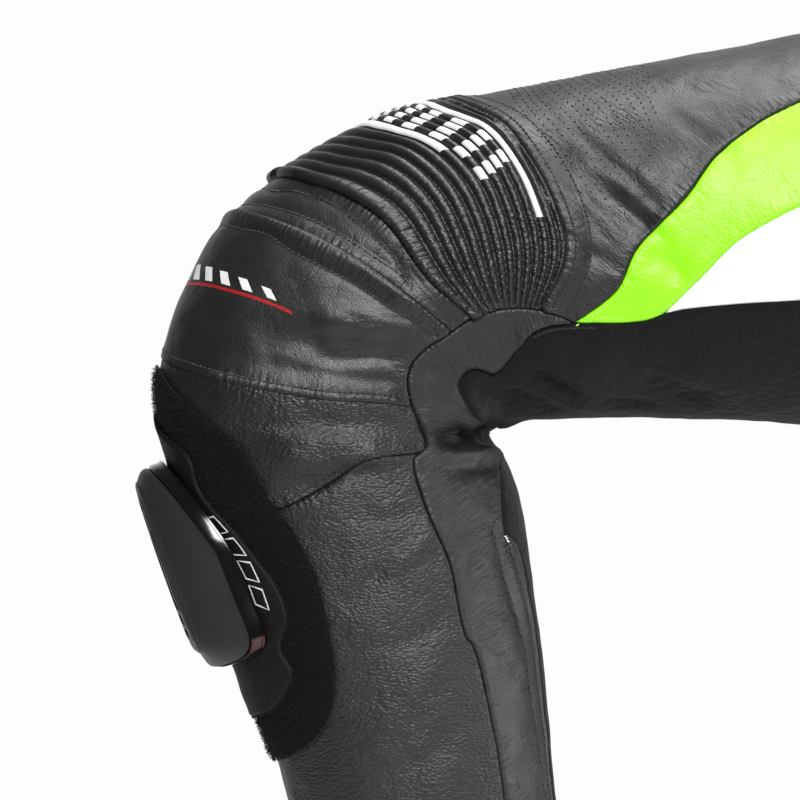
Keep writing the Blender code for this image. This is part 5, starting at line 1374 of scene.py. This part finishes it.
def repeat_tree(shape):
    """Points in, one small shape on each point out, turned by its attributes along and out."""
    tree = bpy.data.node_groups.new(f"repeat a {shape}", "GeometryNodeTree")
    for name, kind in (("Geometry", "Geometry"), ("Size", "Vector"), ("Size Variation", "Float"),
                       ("Finish", "Material")):
        tree.interface.new_socket(name, in_out="INPUT", socket_type=f"NodeSocket{kind}")
    tree.interface.new_socket("Geometry", in_out="OUTPUT", socket_type="NodeSocketGeometry")
    given = put(tree, "NodeGroupInput").outputs
    out, along = (put(tree, "GeometryNodeInputNamedAttribute", {"data_type": "FLOAT_VECTOR"},
                      Name=name).outputs[0] for name in ("out", "along"))
    turned = put(tree, "FunctionNodeAxesToRotation", {"primary_axis": "Z", "secondary_axis": "X"},
                 i0=out, i1=along)
    least = put(tree, "ShaderNodeMath", {"operation": "SUBTRACT"}, i0=1.0, i1=given["Size Variation"])
    most = put(tree, "ShaderNodeMath", {"operation": "ADD"}, i0=1.0, i1=given["Size Variation"])
    factor = put(tree, "FunctionNodeRandomValue", {"data_type": "FLOAT"}, i2=least.outputs[0],
                 i3=most.outputs[0], Seed=11)
    size = put(tree, "ShaderNodeVectorMath", {"operation": "SCALE"}, i0=given["Size"],
               Scale=factor.outputs[1])
    kind, sizes = SHAPES[shape]
    one = put(tree, kind)
    for name, value in sizes.items():
        one.inputs[name].default_value = value
    placed = put(tree, "GeometryNodeInstanceOnPoints", None, Points=given["Geometry"],
                 Instance=one.outputs["Mesh"], Rotation=turned.outputs[0], Scale=size.outputs[0])
    real = put(tree, "GeometryNodeRealizeInstances", None, Geometry=placed.outputs[0])
    done = put(tree, "GeometryNodeSetMaterial", None, Geometry=real.outputs[0], Material=given["Finish"])
    put(tree, "NodeGroupOutput", None, Geometry=done.outputs[0])
    return tree


TREES = {shape: repeat_tree(shape) for shape in SHAPES}


def repeat_on(name, points, along, out, shape, size, finish, slot, variation=0.0):
    """One small shape, size in millimetres, on each point of both legs, as one plain mesh."""
    points, along, out = (np.vstack([a, a * MIRROR]) for a in (points, along, out))
    mesh = bpy.data.meshes.new(name)
    mesh.from_pydata((points / 1000).tolist(), [], [])
    for key, values in (("along", along), ("out", out)):
        mesh.attributes.new(key, "FLOAT_VECTOR", "POINT").data.foreach_set("vector", values.ravel())
    made = bpy.data.objects.new(name, mesh)
    bpy.context.scene.collection.objects.link(made)
    layer = made.modifiers.new("repeat", "NODES")
    layer.node_group = TREES[shape]
    given = {"Size": [s / 1000 for s in size], "Size Variation": variation, "Finish": finish}
    for item in TREES[shape].interface.items_tree:
        if item.name in given:
            layer[item.identifier] = given[item.name]
    result = bpy.data.meshes.new_from_object(made.evaluated_get(bpy.context.evaluated_depsgraph_get()))
    made.modifiers.clear()
    made.data = result
    result.name = name
    result.shade_smooth()
    bpy.data.meshes.remove(mesh)
    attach(made, "trousers")
    print(name, len(points), "times,", len(result.polygons), "faces")
    return made


# %% Where the stitches lie


def surface_of(names):
    """A search tree over the outer faces of some right-hand pieces."""
    points, faces, first = [], [], 0
    for name in names:
        points.append(panels[name].outer)
        faces.append(panels[name].faces + first)
        first += len(panels[name].outer)
    return BVHTree.FromPolygons(np.vstack(points).tolist(), np.vstack(faces).tolist())


SEWN = surface_of(list(PANEL_SEEDS))


def lay_on(places, surface, reach=14.0):
    """Points and normals where rays from outside meet a surface over some places."""
    base = base_point(places[:, 0], places[:, 1])
    normal = base_frame(places[:, 0], places[:, 1])[0]
    hits = [surface.ray_cast(Vector(p + n * reach), Vector(-n), 2 * reach) for p, n in zip(base, normal)]
    kept = np.array([h[0] is not None for h in hits])
    points = np.array([tuple(h[0]) for h in hits if h[0] is not None]).reshape(-1, 3)
    out = np.array([tuple(h[1]) for h in hits if h[0] is not None]).reshape(-1, 3)
    return points, out, kept


def evenly(line, pitch):
    """Places along a line, one pitch apart on the body."""
    points = base_point(line[:, 0], line[:, 1])
    run = run_along(points)
    at = np.arange(pitch / 2, run[-1], pitch)
    return np.stack([np.interp(at, run, line[:, i]) for i in (0, 1)], 1)


def direction_along(points):
    run = np.gradient(points, axis=0)
    return run / np.maximum(np.linalg.norm(run, axis=1), 1e-9)[:, None]


def row_stitches(row):
    """Points, directions and outward normals of the stitches in one row."""
    places = evenly(row.line, row.pitch)
    points, out, _ = lay_on(places, SEWN)
    along = direction_along(points)
    broken = np.linalg.norm(np.diff(points, axis=0), axis=1) > 3 * row.pitch
    keep = ~(np.append(broken, False) | np.insert(broken, 0, False))
    return points[keep] - 0.05 * out[keep], along[keep], out[keep]


def ladder_stitches():
    """Short stitches across the groove of the side panel's front seam."""
    places = evenly(LADDER, 2.3)
    points, out, _ = lay_on(places, SEWN)
    across_it = np.cross(direction_along(points), out)
    return points + 0.5 * out, across_it, out


def thread_finish(name, low, high):
    """Bonded polyester thread: matte, with a slight sheen from its twist."""
    made, tree, place = new_material(name)
    finish_material(tree, Base_Color=speckled(tree, place, low, high, 0.8), Roughness=0.62,
                    Sheen_Weight=0.1)
    return made


THREADS = {"black": thread_finish("black polyester thread", "#09090a", "#1b1b1d"),
           "green": thread_finish("green polyester thread", "#8cf02a", "#b6ff5e")}
# Black discs of painted shade: they stand for the dark inside needle holes and punched holes.
PAINTED_HOLE_SHADE = thread_finish("shadow in a hole", "#000000", "#020202")
for thread, finish in THREADS.items():
    rows = [row_stitches(row) for row in STITCH_ROWS if row.thread == thread]
    sewn = [np.vstack(part) for part in zip(*rows)]
    slot = "black_leather" if thread == "black" else "green_leather"
    repeat_on(f"{thread}_stitches", *sewn, "grain", (2.2, 0.85, 0.6), finish, slot, 0.12)
    if thread == "black":
        # Painted shade of the needle holes: a black disc at the end of each stitch.
        shade_in_holes = (sewn[0] + 1.4 * sewn[1] + 0.10 * sewn[2], sewn[1], sewn[2])
        repeat_on("needle_hole_shade", *shade_in_holes, "disc", (1.5, 1.15, 0.3), PAINTED_HOLE_SHADE, slot, 0.2)
repeat_on("ladder_stitches", *ladder_stitches(), "grain", (2.0, 0.6, 0.5), THREADS["black"],
          "black_leather", 0.2)

# %% [markdown]
# ## Perforations
# The lower thigh is punched with small holes for air, in staggered rows. Each is about a
# millimetre wide and no light leaves it, so its shade is painted as a dark disc a hair above the
# leather, which reads the same from any side as a cut hole would, at a hundredth of the faces.

# %% Punched holes
PUNCHED = [(540, -40), (540, 43), (527, 56), (517, 70), (504, 85), (488, 80), (478, 66), (474, 45),
           (470, 0), (474, -45), (478, -66), (488, -80), (504, -85), (517, -70), (527, -56)]
HOLE_PITCH, HOLE_ROW, HOLE = 4.2, 3.9, 1.05


def punched_places():
    """Staggered rows of places inside the punched field."""
    guide = across([(544, 0), (541, 30), (532, 50), (520, 68), (508, 88)], 10)
    places = []
    for k in range(22):
        row = evenly(beside(guide, -3.0 - HOLE_ROW * k), HOLE_PITCH)
        places.append(row if k % 2 else (row[1:] + row[:-1]) / 2)
    places = np.vstack(places)
    return places[inside_polygon(flat(places), flat(PUNCHED))]


punched = punched_places()
print(len(punched), "places to punch")
points, out, _ = lay_on(punched, surface_of(["front_thigh"]))
# Each punched hole is a black disc of painted shade, laid just over the leather.
repeat_on("perforations", points + 0.02 * out, np.tile([1.0, 0, 0], (len(points), 1)), out, "disc",
          (HOLE, HOLE, 0.2), PAINTED_HOLE_SHADE, "perforated_leather", 0.12)

# %% [markdown]
# ## Loop panel and hook plate
# The slider sticks to a field of loop pile on the shin. Pile has no clean outline: its fibres stand
# up and its cut edge frays. Short tapered hairs, thrown by seeded chance over the shown part of the
# panel and thickly along both edges, give that furry outline.

# %% Pile
rng = np.random.default_rng(41)
PILE_HAIRS, EDGE_HAIRS_PER_MM = 9000, 5.0


def hair_points(panel, count, keep):
    """Random points on a panel's outer faces whose place passes a test, with normals."""
    a, b, c = (panel.outer[panel.faces[:, i]] for i in range(3))
    cross = np.cross(b - a, c - a)
    area = np.linalg.norm(cross, axis=1) / 2
    middle = panel.places[panel.faces].mean(1)
    chance = np.where(keep(middle), area, 0)
    face = rng.choice(len(area), count, p=chance / chance.sum())
    u, v = rng.random(count), rng.random(count)
    u, v = np.where(u + v > 1, 1 - u, u)[:, None], np.where(u + v > 1, 1 - v, v)[:, None]
    points = a[face] + u * (b - a)[face] + v * (c - a)[face]
    return points, (cross / np.maximum(2 * area, 1e-9)[:, None])[face]


def leaning(out, amount):
    """Directions tilted from the normal by seeded chance."""
    lean = out + rng.normal(0, amount, out.shape)
    return lean / np.linalg.norm(lean, axis=1)[:, None]


def edge_hairs(panel, lean):
    """Points along a panel's own edge with directions that lean outwards."""
    chain = panel.borders["own edge"][0]
    points = panel.outer[chain]
    run = run_along(points)
    at = np.sort(rng.random(int(run[-1] * EDGE_HAIRS_PER_MM)) * run[-1])
    points = np.stack([np.interp(at, run, points[:, i]) for i in range(3)], 1)
    normal = half.normal[panel.used][chain]
    up = np.stack([np.interp(at, run, normal[:, i]) for i in range(3)], 1)
    side = np.cross(direction_along(points), up)
    return points - 0.3 * up, leaning(side + lean * up, 0.35)


def outside_plate(places):
    plate = half.shapes["hook_plate"]
    middle = plate.mean(0)
    return ~inside_polygon(flat(places), flat(middle + 0.97 * (plate - middle)))


def hairs(name, points, way, size, finish, slot, sink=0.35):
    """Hairs that stand on points: a thin cone's own middle sits half its length up."""
    along = np.cross(way, [0.3, 0.5, 0.8])
    repeat_on(name, points + way * size[2] * sink, along, way, "hair", size, finish, slot, 0.35)


def pile_finish(name, low, high):
    """Brushed nylon loops: no gloss, a soft light rim where fibres catch the light."""
    made, tree, place = new_material(name)
    finish_material(tree, Base_Color=speckled(tree, place, low, high, 0.9), Roughness=0.9,
                    Sheen_Weight=0.05, Sheen_Roughness=0.5, Specular_IOR_Level=0.2)
    return made


PILE = pile_finish("black nylon loop pile", "#010101", "#070707")
# The edge hairs are coloured much lighter than the pile. This is a painted highlight for the light that
# catches the fuzzy edges of the loop tape and the hook plate.
EDGE_FIBRE_HIGHLIGHT = pile_finish("nylon edge fibres with painted highlight", "#0e0e0f", "#2c2b2d")
points, out = hair_points(panels["loop_panel"], PILE_HAIRS, outside_plate)
hairs("loop_fibres", points, leaning(out, 0.5), (0.34, 0.34, 1.5), PILE, "loop_pile")
points, way = edge_hairs(panels["loop_panel"], 0.7)
hairs("loop_edge_fibres", points, way, (0.22, 0.22, 1.5), EDGE_FIBRE_HIGHLIGHT, "loop_pile")
points, way = edge_hairs(panels["hook_plate"], 0.4)
hairs("plate_edge_bristles", points, way, (0.2, 0.2, 1.1), EDGE_FIBRE_HIGHLIGHT, "hook_plate")

# %% [markdown]
# ## Knee slider
# A worn-smooth block of hard rubber on a glossy base, the part that touches the road. Its outline
# is an egg that is wider at its lower end, and its underside follows the shin. It is a stack of
# rings, which gives full control over the crisp rim and the soft swell of the sides.

# %% Frame and outline of the slider
SLIDER_MIDDLE = (-100.0, -80.0)     # towards the hip and up from the knee
SLIDER_LEAN, SLIDER_FACING, SLIDER_ACROSS = 20.1, 8.5, 6.0
SLIDER_HALF_SIZE, SLIDER_FACE_HALF_SIZE = (51.6, 47.4), (44.4, 28.6)
SLIDER_SHIFT, SLIDER_TOP, SLIDER_POINTS, BAND_THICK = -1.2, 17.0, 120, 7.2
PLATE_TOP = LAYERS["hook_plate"][0]


def slider_axes():
    """Unit vectors along the slider (down the shin), across it (to the inner side) and out."""
    hipwards, outwards = leg_directions()
    lean, facing = math.radians(SLIDER_LEAN), math.radians(SLIDER_FACING)
    along = math.sin(lean) * hipwards - math.cos(lean) * np.array([0, 0, 1.0])
    out = -math.cos(lean) * hipwards - math.sin(lean) * np.array([0, 0, 1.0])
    across_it = -outwards * math.cos(facing) - out * math.sin(facing)
    return np.array([along, across_it, out * math.cos(facing) - outwards * math.sin(facing)])


AXES = slider_axes()
SLIDER_ORIGIN = KNEE + SLIDER_MIDDLE[0] * leg_directions()[0] + np.array([0, 0, SLIDER_MIDDLE[1]])


def height_over_leg(outline, lift):
    """Height in the slider's frame of the lifted leg surface under each (along, across) pair."""
    place = np.stack([733 + outline[:, 0], outline[:, 1] / 1.15], 1)

    def local(at):
        lifted = base_point(at[:, 0], at[:, 1]) + base_frame(at[:, 0], at[:, 1])[0] * lift
        return (lifted - SLIDER_ORIGIN) @ AXES.T

    for _ in range(12):
        now = local(place)
        by_station = (local(place + [0.5, 0]) - now)[:, :2] / 0.5
        by_around = (local(place + [0, 0.5]) - now)[:, :2] / 0.5
        miss = outline - now[:, :2]
        det = by_station[:, 0] * by_around[:, 1] - by_station[:, 1] * by_around[:, 0]
        step = np.stack([miss[:, 0] * by_around[:, 1] - miss[:, 1] * by_around[:, 0],
                         by_station[:, 0] * miss[:, 1] - by_station[:, 1] * miss[:, 0]], 1) / det[:, None]
        place = place + np.clip(step, -12, 12)
    return local(place)[:, 2]


def slider_outline(half_length, half_width, shift):
    """Egg-shaped outline, blunter and wider towards its lower end."""
    turn = np.linspace(0, 2 * math.pi, SLIDER_POINTS, endpoint=False)
    square = np.where(np.cos(turn) > 0, 0.32, 0.82)
    blunt = np.where(np.cos(turn) > 0, 0.30, 0.80)
    along = half_length * np.sign(np.cos(turn)) * np.abs(np.cos(turn))**square + shift
    across_it = half_width * np.sign(np.sin(turn)) * np.abs(np.sin(turn))**blunt * (1 + 0.17 * np.cos(turn))
    return np.stack([along, across_it + SLIDER_ACROSS], 1)


def raised(ring, by):
    return ring + np.array([0, 0, by])


def scaled(ring, size, by=0.0):
    """A ring drawn in towards its own middle, and lifted."""
    middle = ring.mean(0)
    return raised(middle + (ring - middle) * np.array([size, size, 1]), by)


# %% Rings of the base and the block


def base_rings():
    """Underside, upright side with a fine lip, and top of the glossy base."""
    under = []
    for size in (0.05, 0.3, 0.66, 0.97, 1.0):
        ring = slider_outline(SLIDER_HALF_SIZE[0] * size, SLIDER_HALF_SIZE[1] * size, SLIDER_SHIFT)
        height = height_over_leg(ring, PLATE_TOP + (1.1 if size < 1 else 1.7))
        under.append(np.column_stack([ring, height]))
    edge = under[-1]
    side = [scaled(edge, s, h) for s, h in ((1.008, 0.5), (1.008, 1.3), (0.998, 1.5), (0.998, 5.8),
                                            (0.994, 6.6), (0.980, 7.0))]
    top = [raised(r, BAND_THICK - 1.2) for r in under[:3][::-1]]
    return under + side + top, edge


def block_rings(edge):
    """The matte block: sides that swell a little, a crisp rounded rim, a face with low ridges."""
    low = BAND_THICK + 0.15
    face = np.column_stack([slider_outline(*SLIDER_FACE_HALF_SIZE, SLIDER_SHIFT - 2),
                            np.full(SLIDER_POINTS, SLIDER_TOP - 3.5)])
    foot = scaled(edge, 0.972, low)
    rings = [scaled(edge, 0.3, low), scaled(edge, 0.9, low), foot, raised(scaled(foot, 1.008), 0.5)]
    for share in (0.08, 0.2, 0.35, 0.5, 0.65, 0.8, 0.9, 0.96):
        ring = scaled(edge, 0.98, low) * (1 - share) + face * share
        swell = 2.0 * math.sin(math.pi * share)
        middle = ring.mean(0)
        away = ring - middle
        away[:, :2] *= 1 + swell / np.maximum(np.linalg.norm(away[:, :2], axis=1), 1)[:, None]
        rings.append(middle + away)
    rim = ((1.0, 0.0), (0.992, 0.7), (0.975, 1.25), (0.95, 1.6), (0.92, 1.75), (0.90, 1.2), (0.86, 1.15),
           (0.845, 2.2), (0.815, 2.3), (0.80, 1.3), (0.70, 1.5), (0.685, 2.5), (0.655, 2.6), (0.64, 1.7),
           (0.5, 2.0), (0.485, 2.9), (0.455, 3.0), (0.44, 2.1), (0.25, 2.4), (0.1, 2.6))
    return rings + [scaled(face, s, h) for s, h in rim]


def ring_mesh(rings):
    """Closed mesh through rings, as points and triangles."""
    count = len(rings[0])
    points = np.vstack([rings[0].mean(0)[None], *rings, rings[-1].mean(0)[None]])
    i = np.arange(count)
    j = (i + 1) % count
    faces = [np.stack([0 * i, 1 + j, 1 + i], 1)]
    for k in range(len(rings) - 1):
        a, b = 1 + k * count, 1 + (k + 1) * count
        faces += [np.stack([a + i, a + j, b + j], 1), np.stack([a + i, b + j, b + i], 1)]
    last = 1 + (len(rings) - 1) * count
    faces.append(np.stack([last + i, last + j, 0 * i + len(points) - 1], 1))
    return points, np.vstack(faces)


def moulded(name, low, high, rough, pit):
    """Injection-moulded plastic or hard rubber: even colour, with the mould's fine texture."""
    made, tree, place = new_material(name)
    texture = put(tree, "ShaderNodeTexNoise", None, Vector=place, Scale=1.4 * MM, Detail=3.0)
    bump = put(tree, "ShaderNodeBump", None, Strength=1.0, Distance=pit / 1000, Height=texture.outputs["Fac"])
    wear = put(tree, "ShaderNodeTexNoise", None, Vector=place, Scale=0.09 * MM, Detail=4.0)
    dull = put(tree, "ShaderNodeMapRange", None, Value=wear.outputs["Fac"], i3=rough - 0.05, i4=rough + 0.06)
    finish_material(tree, Base_Color=speckled(tree, place, low, high, 0.05), Roughness=dull.outputs[0],
                    Normal=bump.outputs[0])
    return made


BLOCK = moulded("matte polyurethane slider block", "#1a191b", "#242325", 0.52, 0.03)
GLOSS = moulded("glossy injection-moulded slider base", "#030303", "#060606", 0.12, 0.002)
RED_GLOSS = moulded("dark red glossy insert", "#2a0006", "#380208", 0.14, 0.002)


def add_slider(name, rings, materials, index_of=None):
    """The stack of rings on each leg, in place of the plain CAD solid."""
    points, faces = ring_mesh(rings)
    middle = points[faces].mean(1)
    index = None if index_of is None else index_of(middle)
    points = SLIDER_ORIGIN + points @ AXES
    for side in ("right", "left"):
        if side == "left":
            points, faces = points * MIRROR, faces[:, ::-1]
        made = add_mesh(f"{side}_{name}_piece", points, faces, materials, index)
        made.data.set_sharp_from_angle(angle=math.radians(38))
        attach(made, "trousers")
        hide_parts(f"{side}_{name}")


def red_patch(middle):
    """Faces of the base's side that are the red insert, near the lower end on the inner side."""
    along, across_it = middle[:, 0], middle[:, 1]
    return (np.abs(along - 43.5) < 2.6) & (across_it > 30)


rings, edge = base_rings()
add_slider("slider_band", rings, [GLOSS, RED_GLOSS], red_patch)
add_slider("slider_puck", block_rings(edge), [BLOCK])

# %% [markdown]
# ## Calf zip
# A fine coil zip closes the calf behind the inner seam. Two rows of small teeth, twisted a little
# against each other, run down the tape, with a bright stop above the first. The slider and its
# pull tab keep their CAD shape, because the tab must swing exactly as the model says.

# %% Teeth, stop and pull tabs
def metal(name, low, high, rough):
    """Die-cast zinc, plated: cool grey, with fine wear that spreads the reflections."""
    made, tree, place = new_material(name)
    wear = put(tree, "ShaderNodeTexNoise", None, Vector=place, Scale=0.8 * MM, Detail=3.0)
    dull = put(tree, "ShaderNodeMapRange", None, Value=wear.outputs["Fac"], i3=rough - 0.08, i4=rough + 0.12)
    bump = put(tree, "ShaderNodeBump", None, Strength=1.0, Distance=0.01 / 1000, Height=wear.outputs["Fac"])
    finish_material(tree, Base_Color=speckled(tree, place, low, high, 0.2), Metallic=1.0,
                    Roughness=dull.outputs[0], Normal=bump.outputs[0])
    return made


ZIP_METAL = metal("dark plated zinc", "#5c5c60", "#77777c", 0.32)
ZIP_BRIGHT = metal("bright nickel plate", "#c8c8c8", "#dededc", 0.22)
ZIP_LINE = [(744, 152.6), (752, 155.4), (767, 159.2), (787, 162), (806, 162.8), (900, 167), (1016, 168.5)]
TOOTH_PITCH = 1.3       # mm


def add_teeth():
    """Two rows of teeth on the tape, each turned a little against the other."""
    places = evenly(through(ZIP_LINE, 10), TOOTH_PITCH) - np.array([0.0, 360.0])
    points, out, _ = lay_on(places, surface_of(["zip_tape", "side_inner", "stretch"]))
    along = direction_along(points)
    across_it = np.cross(out, along)
    for name, side in (("teeth_front", 1), ("teeth_back", -1)):
        turned = along + side * 0.35 * across_it
        repeat_on(f"zip_{name}", points + side * 0.75 * across_it + 0.35 * out, turned, out, "grain",
                  (0.85, 1.7, 1.1), ZIP_METAL, "zip_metal")
    first = slice(0, 3)
    repeat_on("zip_top_stop", points[first] + 0.5 * out[first], along[first], out[first], "grain",
              (1.8, 2.6, 1.3), ZIP_BRIGHT, "zip_metal")


add_teeth()
for node in ("right_zip_slider", "left_zip_slider", "right_zip_pull", "left_zip_pull"):
    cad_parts[node].material_slots[0].material = ZIP_METAL
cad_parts["snap"].material_slots[0].material = ZIP_METAL

# %% [markdown]
# ## Waist closing
# The fly flap and the waist tab cross the centre front, so each is made from the right half's
# faces and their mirror, joined along the middle plane into one shell.

# %% Pieces across the centre front


def add_middle_piece(panel):
    """A piece that crosses the middle plane: the right half's shell and its mirror, joined there."""
    n = len(panel.outer)
    on_plane = half.on_rise[panel.used]
    points, _ = panel.shell()
    points[:n][on_plane, 0] = 0
    points[n:][on_plane, 0] = 0
    twin = np.where(on_plane, np.arange(n), np.arange(n) + 2 * n)
    inner_twin = np.where(on_plane, np.arange(n) + n, np.arange(n) + 3 * n)
    rim = []
    for seam, chains in panel.borders.items():
        if seam in ("front_rise", "back_rise"):
            continue
        for chain in chains:
            for a, b in zip(chain[:-1], chain[1:]):
                rim += [(b, a, a + n), (b, a + n, b + n)]
                rim += [(twin[a], twin[b], inner_twin[a]), (twin[b], inner_twin[b], inner_twin[a])]
    both = np.vstack([points, points * MIRROR])
    faces = np.vstack([panel.faces, panel.faces[:, ::-1] + n, twin[panel.faces][:, ::-1],
                       inner_twin[panel.faces], rim])
    made = add_mesh(f"{panel.name}_piece", both, faces, [LEATHERS["black leather"]])
    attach(made, "trousers")
    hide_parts(panel.name)
    return made


for name in MIDDLE_PIECES:
    add_middle_piece(panels[name])
print("waist closing:", ", ".join(MIDDLE_PIECES))

# %% [markdown]


# %% [markdown]
# ## Stage, light and camera
# The photograph is a cut-out on white under soft light from the upper right. A pale disc is the
# floor, small enough that the low camera never sees its edge, and the pale world lights the rest.

# %% Stage


def add_floor():
    rings, around = 24, 96
    radius = np.linspace(0.02, 0.72, rings)[:, None]
    turn = np.linspace(0, 2 * math.pi, around, endpoint=False)
    points = np.stack([radius * np.cos(turn), radius * np.sin(turn) - 0.12, 0 * turn + 0 * radius], 2)
    points[..., 2] = CAD_BOX[0][2] - 0.0006
    index = np.arange(rings * around).reshape(rings, around)
    nxt = np.roll(index, -1, axis=1)
    quads = np.stack([index[:-1], index[1:], nxt[1:], nxt[:-1]], 2).reshape(-1, 4).tolist()
    mesh = bpy.data.meshes.new("floor")
    mesh.from_pydata(points.reshape(-1, 3).tolist(), [], quads + [index[0].tolist()])
    made, tree, place = new_material("pale studio floor")
    finish_material(tree, Base_Color=speckled(tree, place, "#e4e4e2", "#e9e9e7", 0.01), Roughness=0.7)
    mesh.materials.append(made)
    floor = bpy.data.objects.new("floor", mesh)
    bpy.context.scene.collection.objects.link(floor)


def add_light(name, at, towards, size, watts, colour="#ffffff"):
    """A soft square light that faces a place."""
    data = bpy.data.lights.new(name, "AREA")
    data.shape, data.size, data.energy = "SQUARE", size, watts
    data.color = linear(colour)[:3]
    light = bpy.data.objects.new(name, data)
    light.location = at
    light.rotation_euler = (Vector(towards) - Vector(at)).to_track_quat("-Z", "Y").to_euler()
    bpy.context.scene.collection.objects.link(light)


def add_world():
    """A white backdrop behind the knee and a dim studio everywhere else."""
    world = bpy.data.worlds.new("studio")
    world.use_nodes = True
    tree = world.node_tree
    way = put(tree, "ShaderNodeTexCoord").outputs["Generated"]
    facing = put(tree, "ShaderNodeVectorMath", {"operation": "DOT_PRODUCT"}, i0=way, i1=BACKDROP_WAY)
    white = put(tree, "ShaderNodeMapRange", {"interpolation_type": "SMOOTHSTEP"}, i0=facing.outputs["Value"],
                i1=0.55, i2=0.93, i3=0.0, i4=1.0)
    colour = put(tree, "ShaderNodeMix", {"data_type": "RGBA"}, i0=white.outputs[0], i6=linear("#6c6c6e"),
                 i7=linear("#fdfdfd"))
    tree.links.new(colour.outputs[2], tree.nodes["Background"].inputs["Color"])
    bpy.context.scene.world = world


add_floor()
CAMERA_AT = Vector((0.8393, -0.9483, -0.282))
CAMERA_TO = Vector((-0.2865, -0.2983, -0.282))
BACKDROP_WAY = tuple((CAMERA_TO - CAMERA_AT).normalized())
add_world()
add_light("key", (1.02, -0.9, 0.42), CAMERA_TO, 0.6, 32)
add_light("top", (-0.1, -0.1, 0.85), CAMERA_TO, 0.8, 18)
add_light("right_fill", (0.42, 0.42, -0.3), (-0.2, -0.15, -0.45), 0.5, 7)
data = bpy.data.cameras.new("camera")
data.lens, data.sensor_width = 119.4, 36.0
camera = bpy.data.objects.new("camera", data)
camera.location = CAMERA_AT
camera.rotation_euler = (CAMERA_TO - CAMERA_AT).to_track_quat("-Z", "Y").to_euler()
bpy.context.scene.collection.objects.link(camera)
bpy.context.scene.camera = camera
bpy.context.scene.view_settings.view_transform = "Standard"
